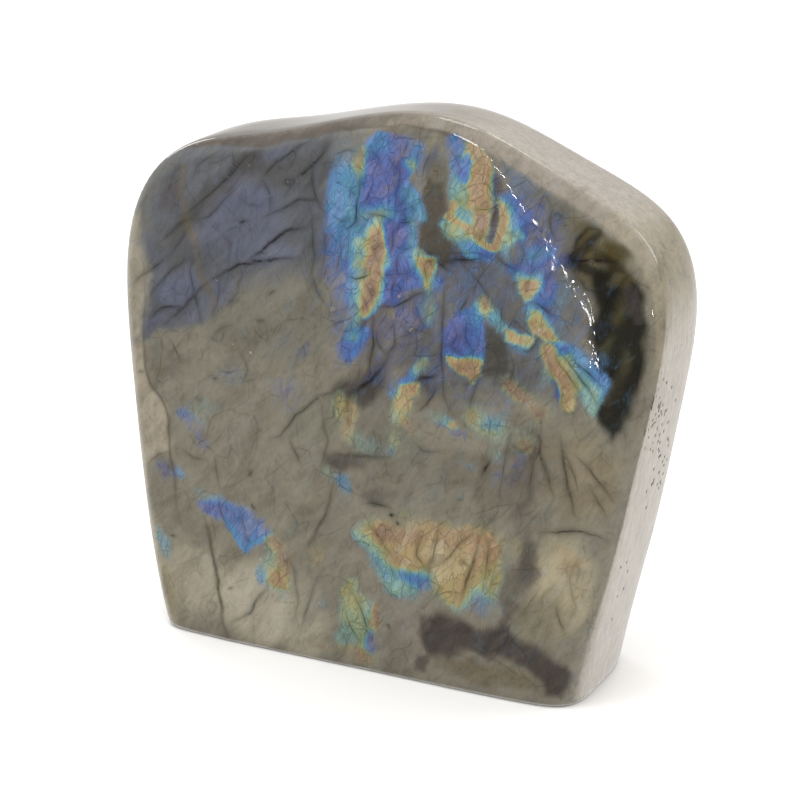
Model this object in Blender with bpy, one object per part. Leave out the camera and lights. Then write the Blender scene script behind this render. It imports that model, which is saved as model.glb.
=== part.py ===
"""Labradorite standing stone: one polished freeform on a flat sawn foot.

Metres, +Z up. The origin is the middle of the foot, and the polished show face looks along -Y.
The stone is shaped as a lapidary would: an outline is sawn from the slab, its two broad faces are
ground to a slight crown, one corner of the show face is ground back to a soft facet, every edge is
rounded over, and the foot is sawn flat last, so that the stone stands.
"""

import math

import bmesh
import bpy
from mathutils import Vector

MM = 0.001

# Slab: the blank before its edges are rounded.
FOOT_DEPTH = 37.4 * MM  # front to back, at the foot
SHOW_FACE_LEAN = math.radians(3.0)  # the show face leans back
BACK_FACE_LEAN = math.radians(0.5)  # the back face leans forward
SHOW_FACE_CROWN = 3.2 * MM  # how far the middle stands proud of the rim
BACK_FACE_CROWN = 2.6 * MM
FACE_CENTRE = Vector((-12.0 * MM, 52.0 * MM))  # x, z
FACE_HALF_SIZE = Vector((52.0 * MM, 62.0 * MM))

# Outline of the slab, clockwise from below the left of the foot: x and z in millimetres, how
# broadly the show face's edge is rounded there, and how far the show face's edge rises above the
# back's. The two lowest at each end are sawn off.
OUTLINE_MM = (
    (-39.0, -32.0, 1.5, 0.0),
    (-46.0, -10.0, 1.4, 0.0),
    (-51.5, 10.2, 1.5, 0.0),
    (-55.0, 32.0, 1.8, 0.0),
    (-57.2, 54.0, 1.7, 0.0),
    (-59.2, 75.0, 1.6, 0.0),
    (-56.4, 91.5, 1.3, 0.0),
    (-44.9, 103.2, 1.1, 0.0),
    (-26.1, 105.2, 1.0, 0.0),
    (-9.1, 109.6, 1.0, 0.6),
    (6.0, 112.0, 0.8, 1.7),
    (19.0, 109.7, 0.8, 3.2),
    (33.9, 102.9, 1.2, 1.6),
    (48.7, 97.2, 1.1, 0.0),
    (56.2, 88.2, 0.9, 0.0),
    (58.6, 75.0, 0.6, 0.0),
    (54.8, 53.9, 0.5, 0.0),
    (51.3, 31.9, 0.6, 0.0),
    (45.6, 10.2, 1.7, 0.0),
    (42.5, -10.0, 2.7, 0.0),
    (37.5, -32.0, 3.0, 0.0),
)

# Edges, as rings of the cage around the slab: (inward from the outline, behind the face). The show
# face's edge is a chamfer between two soft ridges where it is narrow, and a plain round where it is
# broad. The back face's edge is round all the way.
CHAMFER_MM = ((3.3, 0.15), (2.6, 0.75), (0.75, 2.4), (0.15, 3.2))
ROUND_MM = ((3.6, 0.0), (1.6, 0.35), (0.35, 1.6), (0.0, 3.6))
NARROW = 1.15
BROAD = 1.5
BACK_EDGE_MM = ((9.0, 0.0), (3.0, 2.0), (0.0, 7.0))
SHOW_RIM_MM = 12.0  # the show face's outer ring, inward from the outline
SIDE_RING_MM = 10.0  # behind the show face, it holds the side wall straight
SIDE_RING_RISE = 0.65  # the share of the show face's rise that is left there
FIELD_SCALE = 0.5  # the innermost ring of each face against the ring before it

# Corner facet: the upper right of the show face is ground back from a soft ridge.
RIDGE_TOP = Vector((25.0 * MM, 107.0 * MM))  # x, z
RIDGE_FOOT = Vector((46.0 * MM, 69.0 * MM))
FACET_ANGLE = math.radians(12.0)
FACET_BLEND = 3.0 * MM  # the ridge is rounded over about this much on each side

# Foot: sawn flat at z = 0, and its sharp rim eased by hand.
FOOT_EASE = 1.2 * MM
CLOSEST_RIM_POINTS = 0.4 * MM
EASE_STEPS = ((0.3, 0.7), (0.7, 0.3))  # (inward, downward) shares of FOOT_EASE

SURFACE_LEVELS = 2
STONE_GREY = (0.21, 0.20, 0.17, 1.0)


def clear_scene():
    for obj in list(bpy.data.objects):
        bpy.data.objects.remove(obj)


def crown(x, z, height):
    across = (x - FACE_CENTRE.x) / FACE_HALF_SIZE.x
    up = (z - FACE_CENTRE.y) / FACE_HALF_SIZE.y
    return height * (1.0 - 0.6 * across * across - 0.4 * up * up)


def facet_drop(x, z):
    """How far the corner facet is ground back from the show face at this place."""
    along = (RIDGE_FOOT - RIDGE_TOP).normalized()
    outward = Vector((-along.y, along.x))
    beyond = outward.dot(Vector((x, z)) - RIDGE_TOP)
    rounded = 0.5 * (beyond + math.hypot(beyond, FACET_BLEND))
    return rounded * math.tan(FACET_ANGLE)


def show_face(x, z):
    """y of the show face, with its lean, crown and corner facet."""
    rim = -FOOT_DEPTH / 2 + SHOW_FACE_CROWN + z * math.tan(SHOW_FACE_LEAN)
    return rim - crown(x, z, SHOW_FACE_CROWN) + facet_drop(x, z)


def back_face(x, z):
    """y of the back face, with its lean and crown."""
    rim = FOOT_DEPTH / 2 - BACK_FACE_CROWN - z * math.tan(BACK_FACE_LEAN)
    return rim + crown(x, z, BACK_FACE_CROWN)


def stations(rise_share):
    """Each point of the outline, raised by this share of its rise, with its direction inwards and
    the breadth of its edge."""
    points = [Vector((x, z)) for x, z, _, _ in OUTLINE_MM]
    for index, (x, z, breadth, rise) in enumerate(OUTLINE_MM):
        along = points[(index + 1) % len(points)] - points[index - 1]
        to_inside = Vector((along.y, -along.x)).normalized()
        yield Vector((x, z + rise * rise_share)), to_inside, breadth


def plain_ring(bm, inward, behind, rise_share=0.0):
    """A ring of the cage, this far in from the outline and behind the show face, in millimetres."""
    places = [point + to_inside * inward for point, to_inside, _ in stations(rise_share)]
    return [bm.verts.new((x * MM, behind * MM - FOOT_DEPTH / 2, z * MM)) for x, z in places]


def edge_ring(bm, chamfer, round_edge):
    """A ring of the show face's edge, which changes from a chamfer to a round along the outline."""
    verts = []
    for point, to_inside, breadth in stations(1.0):
        share = min(max((breadth - NARROW) / (BROAD - NARROW), 0.0), 1.0)
        inward, behind = Vector(chamfer).lerp(Vector(round_edge), share) * breadth
        x, z = point + to_inside * inward
        verts.append(bm.verts.new((x * MM, behind * MM - FOOT_DEPTH / 2, z * MM)))
    return verts


def field_ring(bm, rim):
    """A ring inside a face: the face's outer ring, drawn in towards its centre."""
    verts = []
    for vert in rim:
        x = FACE_CENTRE.x + (vert.co.x - FACE_CENTRE.x) * FIELD_SCALE
        z = FACE_CENTRE.y + (vert.co.z - FACE_CENTRE.y) * FIELD_SCALE
        verts.append(bm.verts.new((x, vert.co.y, z)))
    return verts


def slab_cage():
    """The slab as a flat prism, from the middle of the show face round to the middle of the back."""
    bm = bmesh.new()
    depth = FOOT_DEPTH / MM
    rings = [plain_ring(bm, SHOW_RIM_MM, 0.0, 1.0)]
    rings += [edge_ring(bm, *pair) for pair in zip(CHAMFER_MM, ROUND_MM)]
    rings += [plain_ring(bm, 0.0, SIDE_RING_MM, SIDE_RING_RISE)]
    rings += [plain_ring(bm, inward, depth - before) for inward, before in reversed(BACK_EDGE_MM)]
    rings = [field_ring(bm, rings[0])] + rings + [field_ring(bm, rings[-1])]
    for here, there in zip(rings, rings[1:]):
        for index in range(len(here)):
            bm.faces.new((here[index - 1], here[index], there[index], there[index - 1]))
    bm.faces.new(rings[0])
    bm.faces.new(rings[-1])
    bmesh.ops.recalc_face_normals(bm, faces=bm.faces)
    return bm


def grind_faces(bm):
    """Moves the flat prism's two faces to the real ones, and what lies between them in proportion."""
    for vert in bm.verts:
        x, _, z = vert.co
        share = vert.co.y / FOOT_DEPTH + 0.5
        vert.co.y = (1.0 - share) * show_face(x, z) + share * back_face(x, z)


def smooth_surface(bm):
    """The cage's subdivision surface, as a new bmesh."""
    mesh = bpy.data.meshes.new("cage")
    bm.to_mesh(mesh)
    bm.free()
    cage = bpy.data.objects.new("cage", mesh)
    bpy.context.scene.collection.objects.link(cage)
    surface = cage.modifiers.new("surface", "SUBSURF")
    surface.levels = surface.render_levels = SURFACE_LEVELS
    evaluated = cage.evaluated_get(bpy.context.evaluated_depsgraph_get())
    smooth = bmesh.new()
    smooth.from_mesh(evaluated.data)
    bpy.data.objects.remove(cage)
    bpy.data.meshes.remove(mesh)
    return smooth


def saw_foot(bm):
    """Saws the stone flat and eases the foot's rim."""
    cut = bmesh.ops.bisect_plane(
        bm,
        geom=bm.verts[:] + bm.edges[:] + bm.faces[:],
        plane_co=(0.0, 0.0, FOOT_EASE),
        plane_no=(0.0, 0.0, 1.0),
        clear_inner=True,
    )["geom_cut"]
    corners = [item for item in cut if isinstance(item, bmesh.types.BMVert)]
    bmesh.ops.remove_doubles(bm, verts=corners, dist=CLOSEST_RIM_POINTS)
    rim = [edge for edge in bm.edges if edge.is_boundary]
    foot = bmesh.ops.contextual_create(bm, geom=rim)["faces"]
    bmesh.ops.recalc_face_normals(bm, faces=bm.faces)
    for inward, downward in EASE_STEPS:
        bmesh.ops.inset_region(
            bm,
            faces=foot,
            thickness=inward * FOOT_EASE,
            depth=downward * FOOT_EASE,
            use_even_offset=True,
        )


def centre_on_foot(bm):
    """Puts the middle of the stone's width and depth over the origin, and its foot at z = 0."""
    lowest = Vector(min(vert.co[axis] for vert in bm.verts) for axis in range(3))
    highest = Vector(max(vert.co[axis] for vert in bm.verts) for axis in range(3))
    middle = (lowest + highest) / 2
    bmesh.ops.translate(bm, verts=bm.verts, vec=(-middle.x, -middle.y, -lowest.z))


def stone_finish():
    material = bpy.data.materials.new("polished labradorite")
    material.use_nodes = True
    shader = material.node_tree.nodes["Principled BSDF"]
    shader.inputs["Base Color"].default_value = STONE_GREY
    shader.inputs["Roughness"].default_value = 0.12
    shader.inputs["Metallic"].default_value = 0.0
    return material


def make_stone():
    bm = slab_cage()
    grind_faces(bm)
    bm = smooth_surface(bm)
    saw_foot(bm)
    centre_on_foot(bm)
    mesh = bpy.data.meshes.new("stone")
    bm.to_mesh(mesh)
    bm.free()
    mesh.materials.append(stone_finish())
    mesh.shade_smooth()
    mesh.set_sharp_from_angle(angle=math.radians(40.0))
    stone = bpy.data.objects.new("stone", mesh)
    bpy.context.scene.collection.objects.link(stone)


clear_scene()
make_stone()
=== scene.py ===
import math

import bmesh
import bpy
import numpy as np
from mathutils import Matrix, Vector


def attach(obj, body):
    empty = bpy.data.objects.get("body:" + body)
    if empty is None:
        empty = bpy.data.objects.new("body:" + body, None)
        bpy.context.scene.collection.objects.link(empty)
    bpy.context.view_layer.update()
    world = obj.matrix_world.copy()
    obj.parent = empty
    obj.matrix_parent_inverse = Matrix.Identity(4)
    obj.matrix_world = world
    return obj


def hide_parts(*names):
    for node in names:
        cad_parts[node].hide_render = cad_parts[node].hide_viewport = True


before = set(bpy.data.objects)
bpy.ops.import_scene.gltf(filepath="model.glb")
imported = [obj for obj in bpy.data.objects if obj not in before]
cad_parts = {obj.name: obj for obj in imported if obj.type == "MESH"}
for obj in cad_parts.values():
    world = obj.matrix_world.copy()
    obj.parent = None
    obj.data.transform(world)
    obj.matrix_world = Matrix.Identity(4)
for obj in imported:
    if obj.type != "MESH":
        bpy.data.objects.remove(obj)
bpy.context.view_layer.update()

# The stone's looks: one polished skin over the CAD solid. Lengths are in millimetres unless a
# name says otherwise, x runs to the right of the show face and z up from the foot.

MM = 0.001

# ---------------------------------------------------------------- colours

# Every colour is the 0-255 values that a screen shows. OLIVE is the ground under all the others.
OLIVE = (140, 135, 120)
SAND = (160, 152, 134)
CREAM = (180, 170, 150)
SLATE = (103, 106, 113)
STEEL = (108, 112, 132)
SMOKE = (84, 82, 78)
MOSS = (30, 30, 21)
PLUM = (78, 71, 68)
UMBER = (80, 74, 66)
TAWNY = (122, 108, 80)
AMBER = (100, 90, 60)
PALE = (196, 190, 172)
RIND = (198, 190, 178)
RIND_STREAK = (176, 168, 158)
# the colour of the pits is painted shade, laid on their pushed-in floors
PIT_SHADE = (112, 104, 98)
CRACK = (74, 69, 62)

# The order of a flash, from the thinnest lamellae to the thickest, and the colour that each shows.
FLASH_COLOURS = (
    (0.00, (116, 112, 152)),
    (0.12, (90, 108, 178)),
    (0.24, (86, 132, 194)),
    (0.36, (98, 156, 188)),
    (0.47, (140, 180, 166)),
    (0.58, (168, 178, 134)),
    (0.68, (184, 168, 114)),
    (0.78, (184, 160, 120)),
    (0.87, (176, 144, 110)),
    (1.00, (158, 136, 122)),
)
SCREEN_GAMMA = 2.2
STUDIO_LIGHT = 1.34  # how many times its own colour the lit stone sends back


def tint(red, green, blue):
    """The linear colour that a screen shows with these values."""
    return tuple((channel / 255) ** SCREEN_GAMMA for channel in (red, green, blue)) + (1.0,)


def paint(red, green, blue):
    """The stone's own colour where the studio's light makes it look like this on a screen."""
    return tuple(channel / STUDIO_LIGHT for channel in tint(red, green, blue)[:3]) + (1.0,)


# ---------------------------------------------------------------- layout of the show face

# A shape is an oval (x, z, half width, half height and, where it leans, the tilt in degrees to the
# right), a panel (its corners) or a stroke (half width, then the points that it runs through).

# Ground tones, from the lowest layer up: shape, colour, strength and how soft the edge is.
TONES = (
    # slate over olive on the upper left, and the warmer rind along the left edge
    (((-62, 114), (-6, 114), (-8, 84), (-18, 78), (-30, 74), (-40, 67), (-62, 60)), SLATE, 0.9, 9),
    (((-56, 60.5), (-50, 62.3), (-43, 65), (-35, 67.5), (-32, 71), (-34, 84), (-56, 84)),
        SLATE, 0.85, 1.6),
    ((-27, 88, 7, 9, 50), STEEL, 0.7, 4),
    ((-29, 95, 3.5, 6, 55), STEEL, 0.7, 2.5),
    ((-24.4, 93, 1.8, 1.5), STEEL, 0.6, 1.2),
    ((-22, 82.3, 1.8, 5, 70), STEEL, 0.7, 1.5),
    ((-36, 86, 2.6, 5, 20), STEEL, 0.5, 2.5),
    ((-43, 73, 3.2, 6, 52), (112, 116, 136), 0.8, 2.5),
    ((-38, 69, 1.6, 5, 62), STEEL, 0.7, 1.5),
    ((-49.5, 64.2, 1.4, 4.5, 68), STEEL, 0.7, 1.5),
    ((-23, 103, 1.6, 3.5, 60), STEEL, 0.6, 1.5),
    ((-33, 73, 2.2, 3.5, 30), STEEL, 0.6, 1.6),
    ((-18.5, 83.5, 1.6, 4, 60), STEEL, 0.4, 2),
    ((-46, 86, 5, 8, 20), SLATE, 0.5, 5),
    ((-14, 92, 4, 8), SLATE, 0.5, 4),
    ((2, (-41, 88.5), (-36, 92.7), (-30, 98), (-26, 103)), SMOKE, 0.55, 2.6),
    ((1.6, (-48, 81.5), (-41, 87), (-38, 88)), SMOKE, 0.4, 2.6),
    ((-42.5, 82.5, 3, 6, 15), SMOKE, 0.4, 3),
    ((-45, 92.5, 3, 3.8), (88, 79, 76), 0.55, 2.5),
    ((-21, 99, 7, 2.4, -14), SMOKE, 0.5, 2.5),
    ((-12.5, 100, 3.2, 6, 10), SMOKE, 0.4, 3),
    ((-27.5, 100.5, 3.5, 2.6), SMOKE, 0.45, 2.5),
    ((-12, 81, 3, 9), SMOKE, 0.3, 4),
    ((0.9, (-43.5, 98), (-42, 92), (-40, 86.5), (-38.8, 81), (-37, 77), (-35.6, 70)), TAWNY, 0.4, 1.6),
    (((-62, 102), (-46, 100), (-50, 92), (-50, 84), (-62, 84)), (118, 117, 110), 0.7, 4),
    (((-64, 88), (-55, 88), (-51, 76), (-51.2, 66), (-52, 61), (-64, 60)), (176, 168, 148), 0.8, 4),
    (((-62, 60), (-51.6, 60), (-50, 52), (-46, 48), (-45, 39), (-52, 34), (-62, 34)), CREAM, 0.75, 1.8),
    (((-62, 34), (-52.5, 34), (-50, 24), (-46, 14), (-44, 0), (-62, 0)), (182, 174, 152), 0.75, 4),
    ((-46.5, 9, 2.5, 5, -10), (140, 128, 94), 0.5, 3),
    ((-47, 57, 4, 3.6), (108, 104, 92), 0.5, 2.5),
    # the edge along the top
    (((-62, 104), (-46, 104.6), (-26, 107), (-9, 110.6), (2, 112.6), (2, 150), (-62, 150)),
        (112, 102, 90), 0.85, 2),
    ((0.9, (-46, 104.2), (-26, 106.8), (-9, 110.4), (6, 113), (14, 111.8), (20, 108.4)),
        (96, 84, 70), 0.75, 1.4),
    (((2, 113), (14, 112), (24, 109), (38, 102), (50, 97), (62, 96), (70, 110), (30, 150), (2, 150)),
        (162, 152, 138), 0.85, 2),
    ((3, 128, 7, 15), (138, 128, 114), 0.85, 8),
    (((47, 99), (54, 92), (59, 84), (60, 74), (62, 66), (84, 60), (90, 100), (60, 120)),
        (166, 156, 132), 0.8, 4),
    # the olive middle
    ((-22, 68, 14, 7, -8), (120, 118, 106), 0.6, 6),
    ((-34, 52, 12, 6), (142, 138, 124), 0.5, 6),
    ((-24, 42, 12, 5), (144, 138, 124), 0.6, 5),
    ((-12, 50, 6, 9, 20), (130, 128, 114), 0.6, 4),
    ((-38, 12, 8, 8), (188, 180, 160), 0.6, 6),
    ((-24, 10, 9, 9), (200, 192, 172), 0.7, 5),
    ((-14, 8, 5, 8), (186, 180, 160), 0.6, 4),
    (((-39, 29.4), (-34, 31.2), (-26, 29.6), (-20.8, 25.8), (-27, 20.8), (-32.5, 25.9)),
        (152, 160, 174), 0.85, 2),
    ((10, 28.6, 7, 2.4), (190, 170, 132), 0.8, 2),
    ((-5, 30, 6, 10, 10), (146, 141, 128), 0.6, 4),
    ((8, 12, 5, 9), (142, 134, 122), 0.7, 3),
    ((20, 42, 14, 6), (134, 130, 116), 0.6, 6),
    ((4, 40, 5, 6), (118, 112, 100), 0.5, 4),
    ((0.5, 72, 4, 9), (92, 87, 80), 0.6, 4),
    ((10, 67, 5, 5), (104, 100, 92), 0.6, 3),
    ((17, 62, 8, 7), (106, 99, 84), 0.5, 4),
    ((-2, 58.2, 6.5, 2.8, -35), PLUM, 0.85, 3),
    ((2.6, 63, 1.6, 4.5, 38), PLUM, 0.6, 2),
    ((2, 56, 7, 5), SMOKE, 0.35, 5),
    ((-5, 44.3, 4.5, 2), PLUM, 0.65, 2),
    ((3.5, 37.5, 3, 1.8), SMOKE, 0.5, 2),
    ((12.4, 61.6, 2.3, 1.8, 20), PLUM, 0.7, 1.6),
    # the grey rock between the flashes
    (((12, 88), (38, 92), (44, 80), (42, 62), (14, 60), (6, 70)), (104, 105, 104), 0.7, 6),
    ((19, 84, 8, 5, 10), (102, 99, 96), 0.7, 3),
    ((30, 78, 4, 7, 10), (98, 94, 86), 0.6, 3),
    (((10.6, 102), (15, 101), (15.5, 96), (14.6, 92), (18, 88.6), (23, 87), (16, 85), (10.8, 88),
        (10, 93)),
        UMBER, 0.85, 1.4),
    ((13, 102.5, 2.6, 4.5), (96, 90, 74), 0.6, 1.6),
    ((0.9, (24.5, 103.5), (25.5, 100), (25, 96.5), (25.2, 91)), (104, 90, 82), 0.9, 1),
    (((23.2, 74.6), (26, 74.2), (28.6, 71.5), (29.6, 66.5), (27, 64.4), (24, 65), (23.2, 68)),
        SMOKE, 0.9, 1.4),
    ((37, 84, 4, 6), (104, 106, 112), 0.6, 3),
    ((41, 82, 3.5, 8), (118, 117, 112), 0.6, 2.5),
    ((34, 67, 3.5, 5), (106, 104, 98), 0.6, 2.5),
    (((26, 106), (30, 106.6), (38, 101.4), (39.4, 97), (35, 93), (30, 99)), (122, 128, 132), 0.8, 2.5),
    ((6, 48, 7, 4), (108, 110, 98), 0.5, 5),
    ((22, 46, 6, 4), (106, 100, 86), 0.45, 4),
    # the corner: olive, amber and nearly black green
    ((36, 98, 6, 6, -40), (112, 110, 100), 0.7, 3),
    (((38, 90), (42, 97), (46, 97), (51, 92), (55, 86), (50, 80), (40, 86)), (104, 96, 72), 0.8, 2.5),
    (((40, 90), (43, 96), (46, 96.5), (50, 92), (48, 89.4)), AMBER, 0.8, 1.4),
    (((45.8, 86), (48.5, 90), (52, 88), (56, 84), (56, 72), (54, 62), (50.5, 55.5), (47.4, 62),
        (46, 70), (45, 78)),
        MOSS, 0.96, 2.2),
    ((51, 86.5, 2.4, 1.7, -30), (104, 94, 64), 0.6, 1.5),
    ((50, 91.5, 3.6, 2.4, -45), (80, 70, 36), 0.85, 2.5),
    ((1, (40.5, 89.5), (43.4, 92.4), (46.5, 94.4)), MOSS, 0.75, 1.4),
    ((1.3, (40, 88.8), (44, 88), (47, 86.6)), MOSS, 0.85, 1.6),
    ((1, (46, 90.4), (49.4, 89.4), (51.5, 88.8)), MOSS, 0.6, 1.2),
    ((1.6, (52.4, 84), (54.4, 80.4)), PLUM, 0.7, 1.4),
    ((50.2, 81, 1.2, 2.6, 20), (92, 86, 60), 0.6, 1.4),
    ((48.6, 74, 1, 3, 15), (76, 76, 56), 0.6, 1.2),
    ((51.6, 71, 1, 3.4, 10), (84, 80, 60), 0.6, 1.4),
    ((49.2, 65.4, 1.1, 2.2, 20), (80, 76, 58), 0.6, 1.2),
    # the right and the foot
    ((46, 48, 6, 8), (150, 138, 112), 0.7, 5),
    ((38, 50, 5, 7), (118, 109, 92), 0.6, 4),
    ((33, 46, 3, 10), (100, 93, 86), 0.5, 3),
    ((42, 26, 7, 9), (194, 182, 150), 0.7, 5),
    ((42.5, 31, 3, 2), (172, 150, 118), 0.5, 2),
    ((38, 18, 6, 5), (142, 134, 112), 0.6, 4),
    ((34.3, 30, 2, 5.5), (88, 81, 77), 0.8, 2),
    ((31, 24, 2.5, 5, 10), (100, 94, 86), 0.6, 2),
    ((28, 5.4, 10, 2.6), (122, 112, 92), 0.8, 2),
    (((11.6, 15), (16, 16), (20, 15.6), (25, 13.4), (30, 14.2), (33.5, 13.4), (37, 13), (41, 11),
        (43.8, 8.6), (44.3, 4.6), (43, 2.8), (39.6, 3), (38.6, 6), (35, 8.2), (30, 9.6), (24, 9.6),
        (20, 8), (17, 6.2), (14.6, 6), (13.4, 9)),
        PLUM, 0.92, 2),
    (((11.8, 5.2), (14.8, 6.4), (14.2, 2.6), (11.8, 2.6)), PLUM, 0.7, 1.2),
    ((1, (30, 14.5), (32.2, 20.5)), PLUM, 0.7, 1.4),
)

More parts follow.
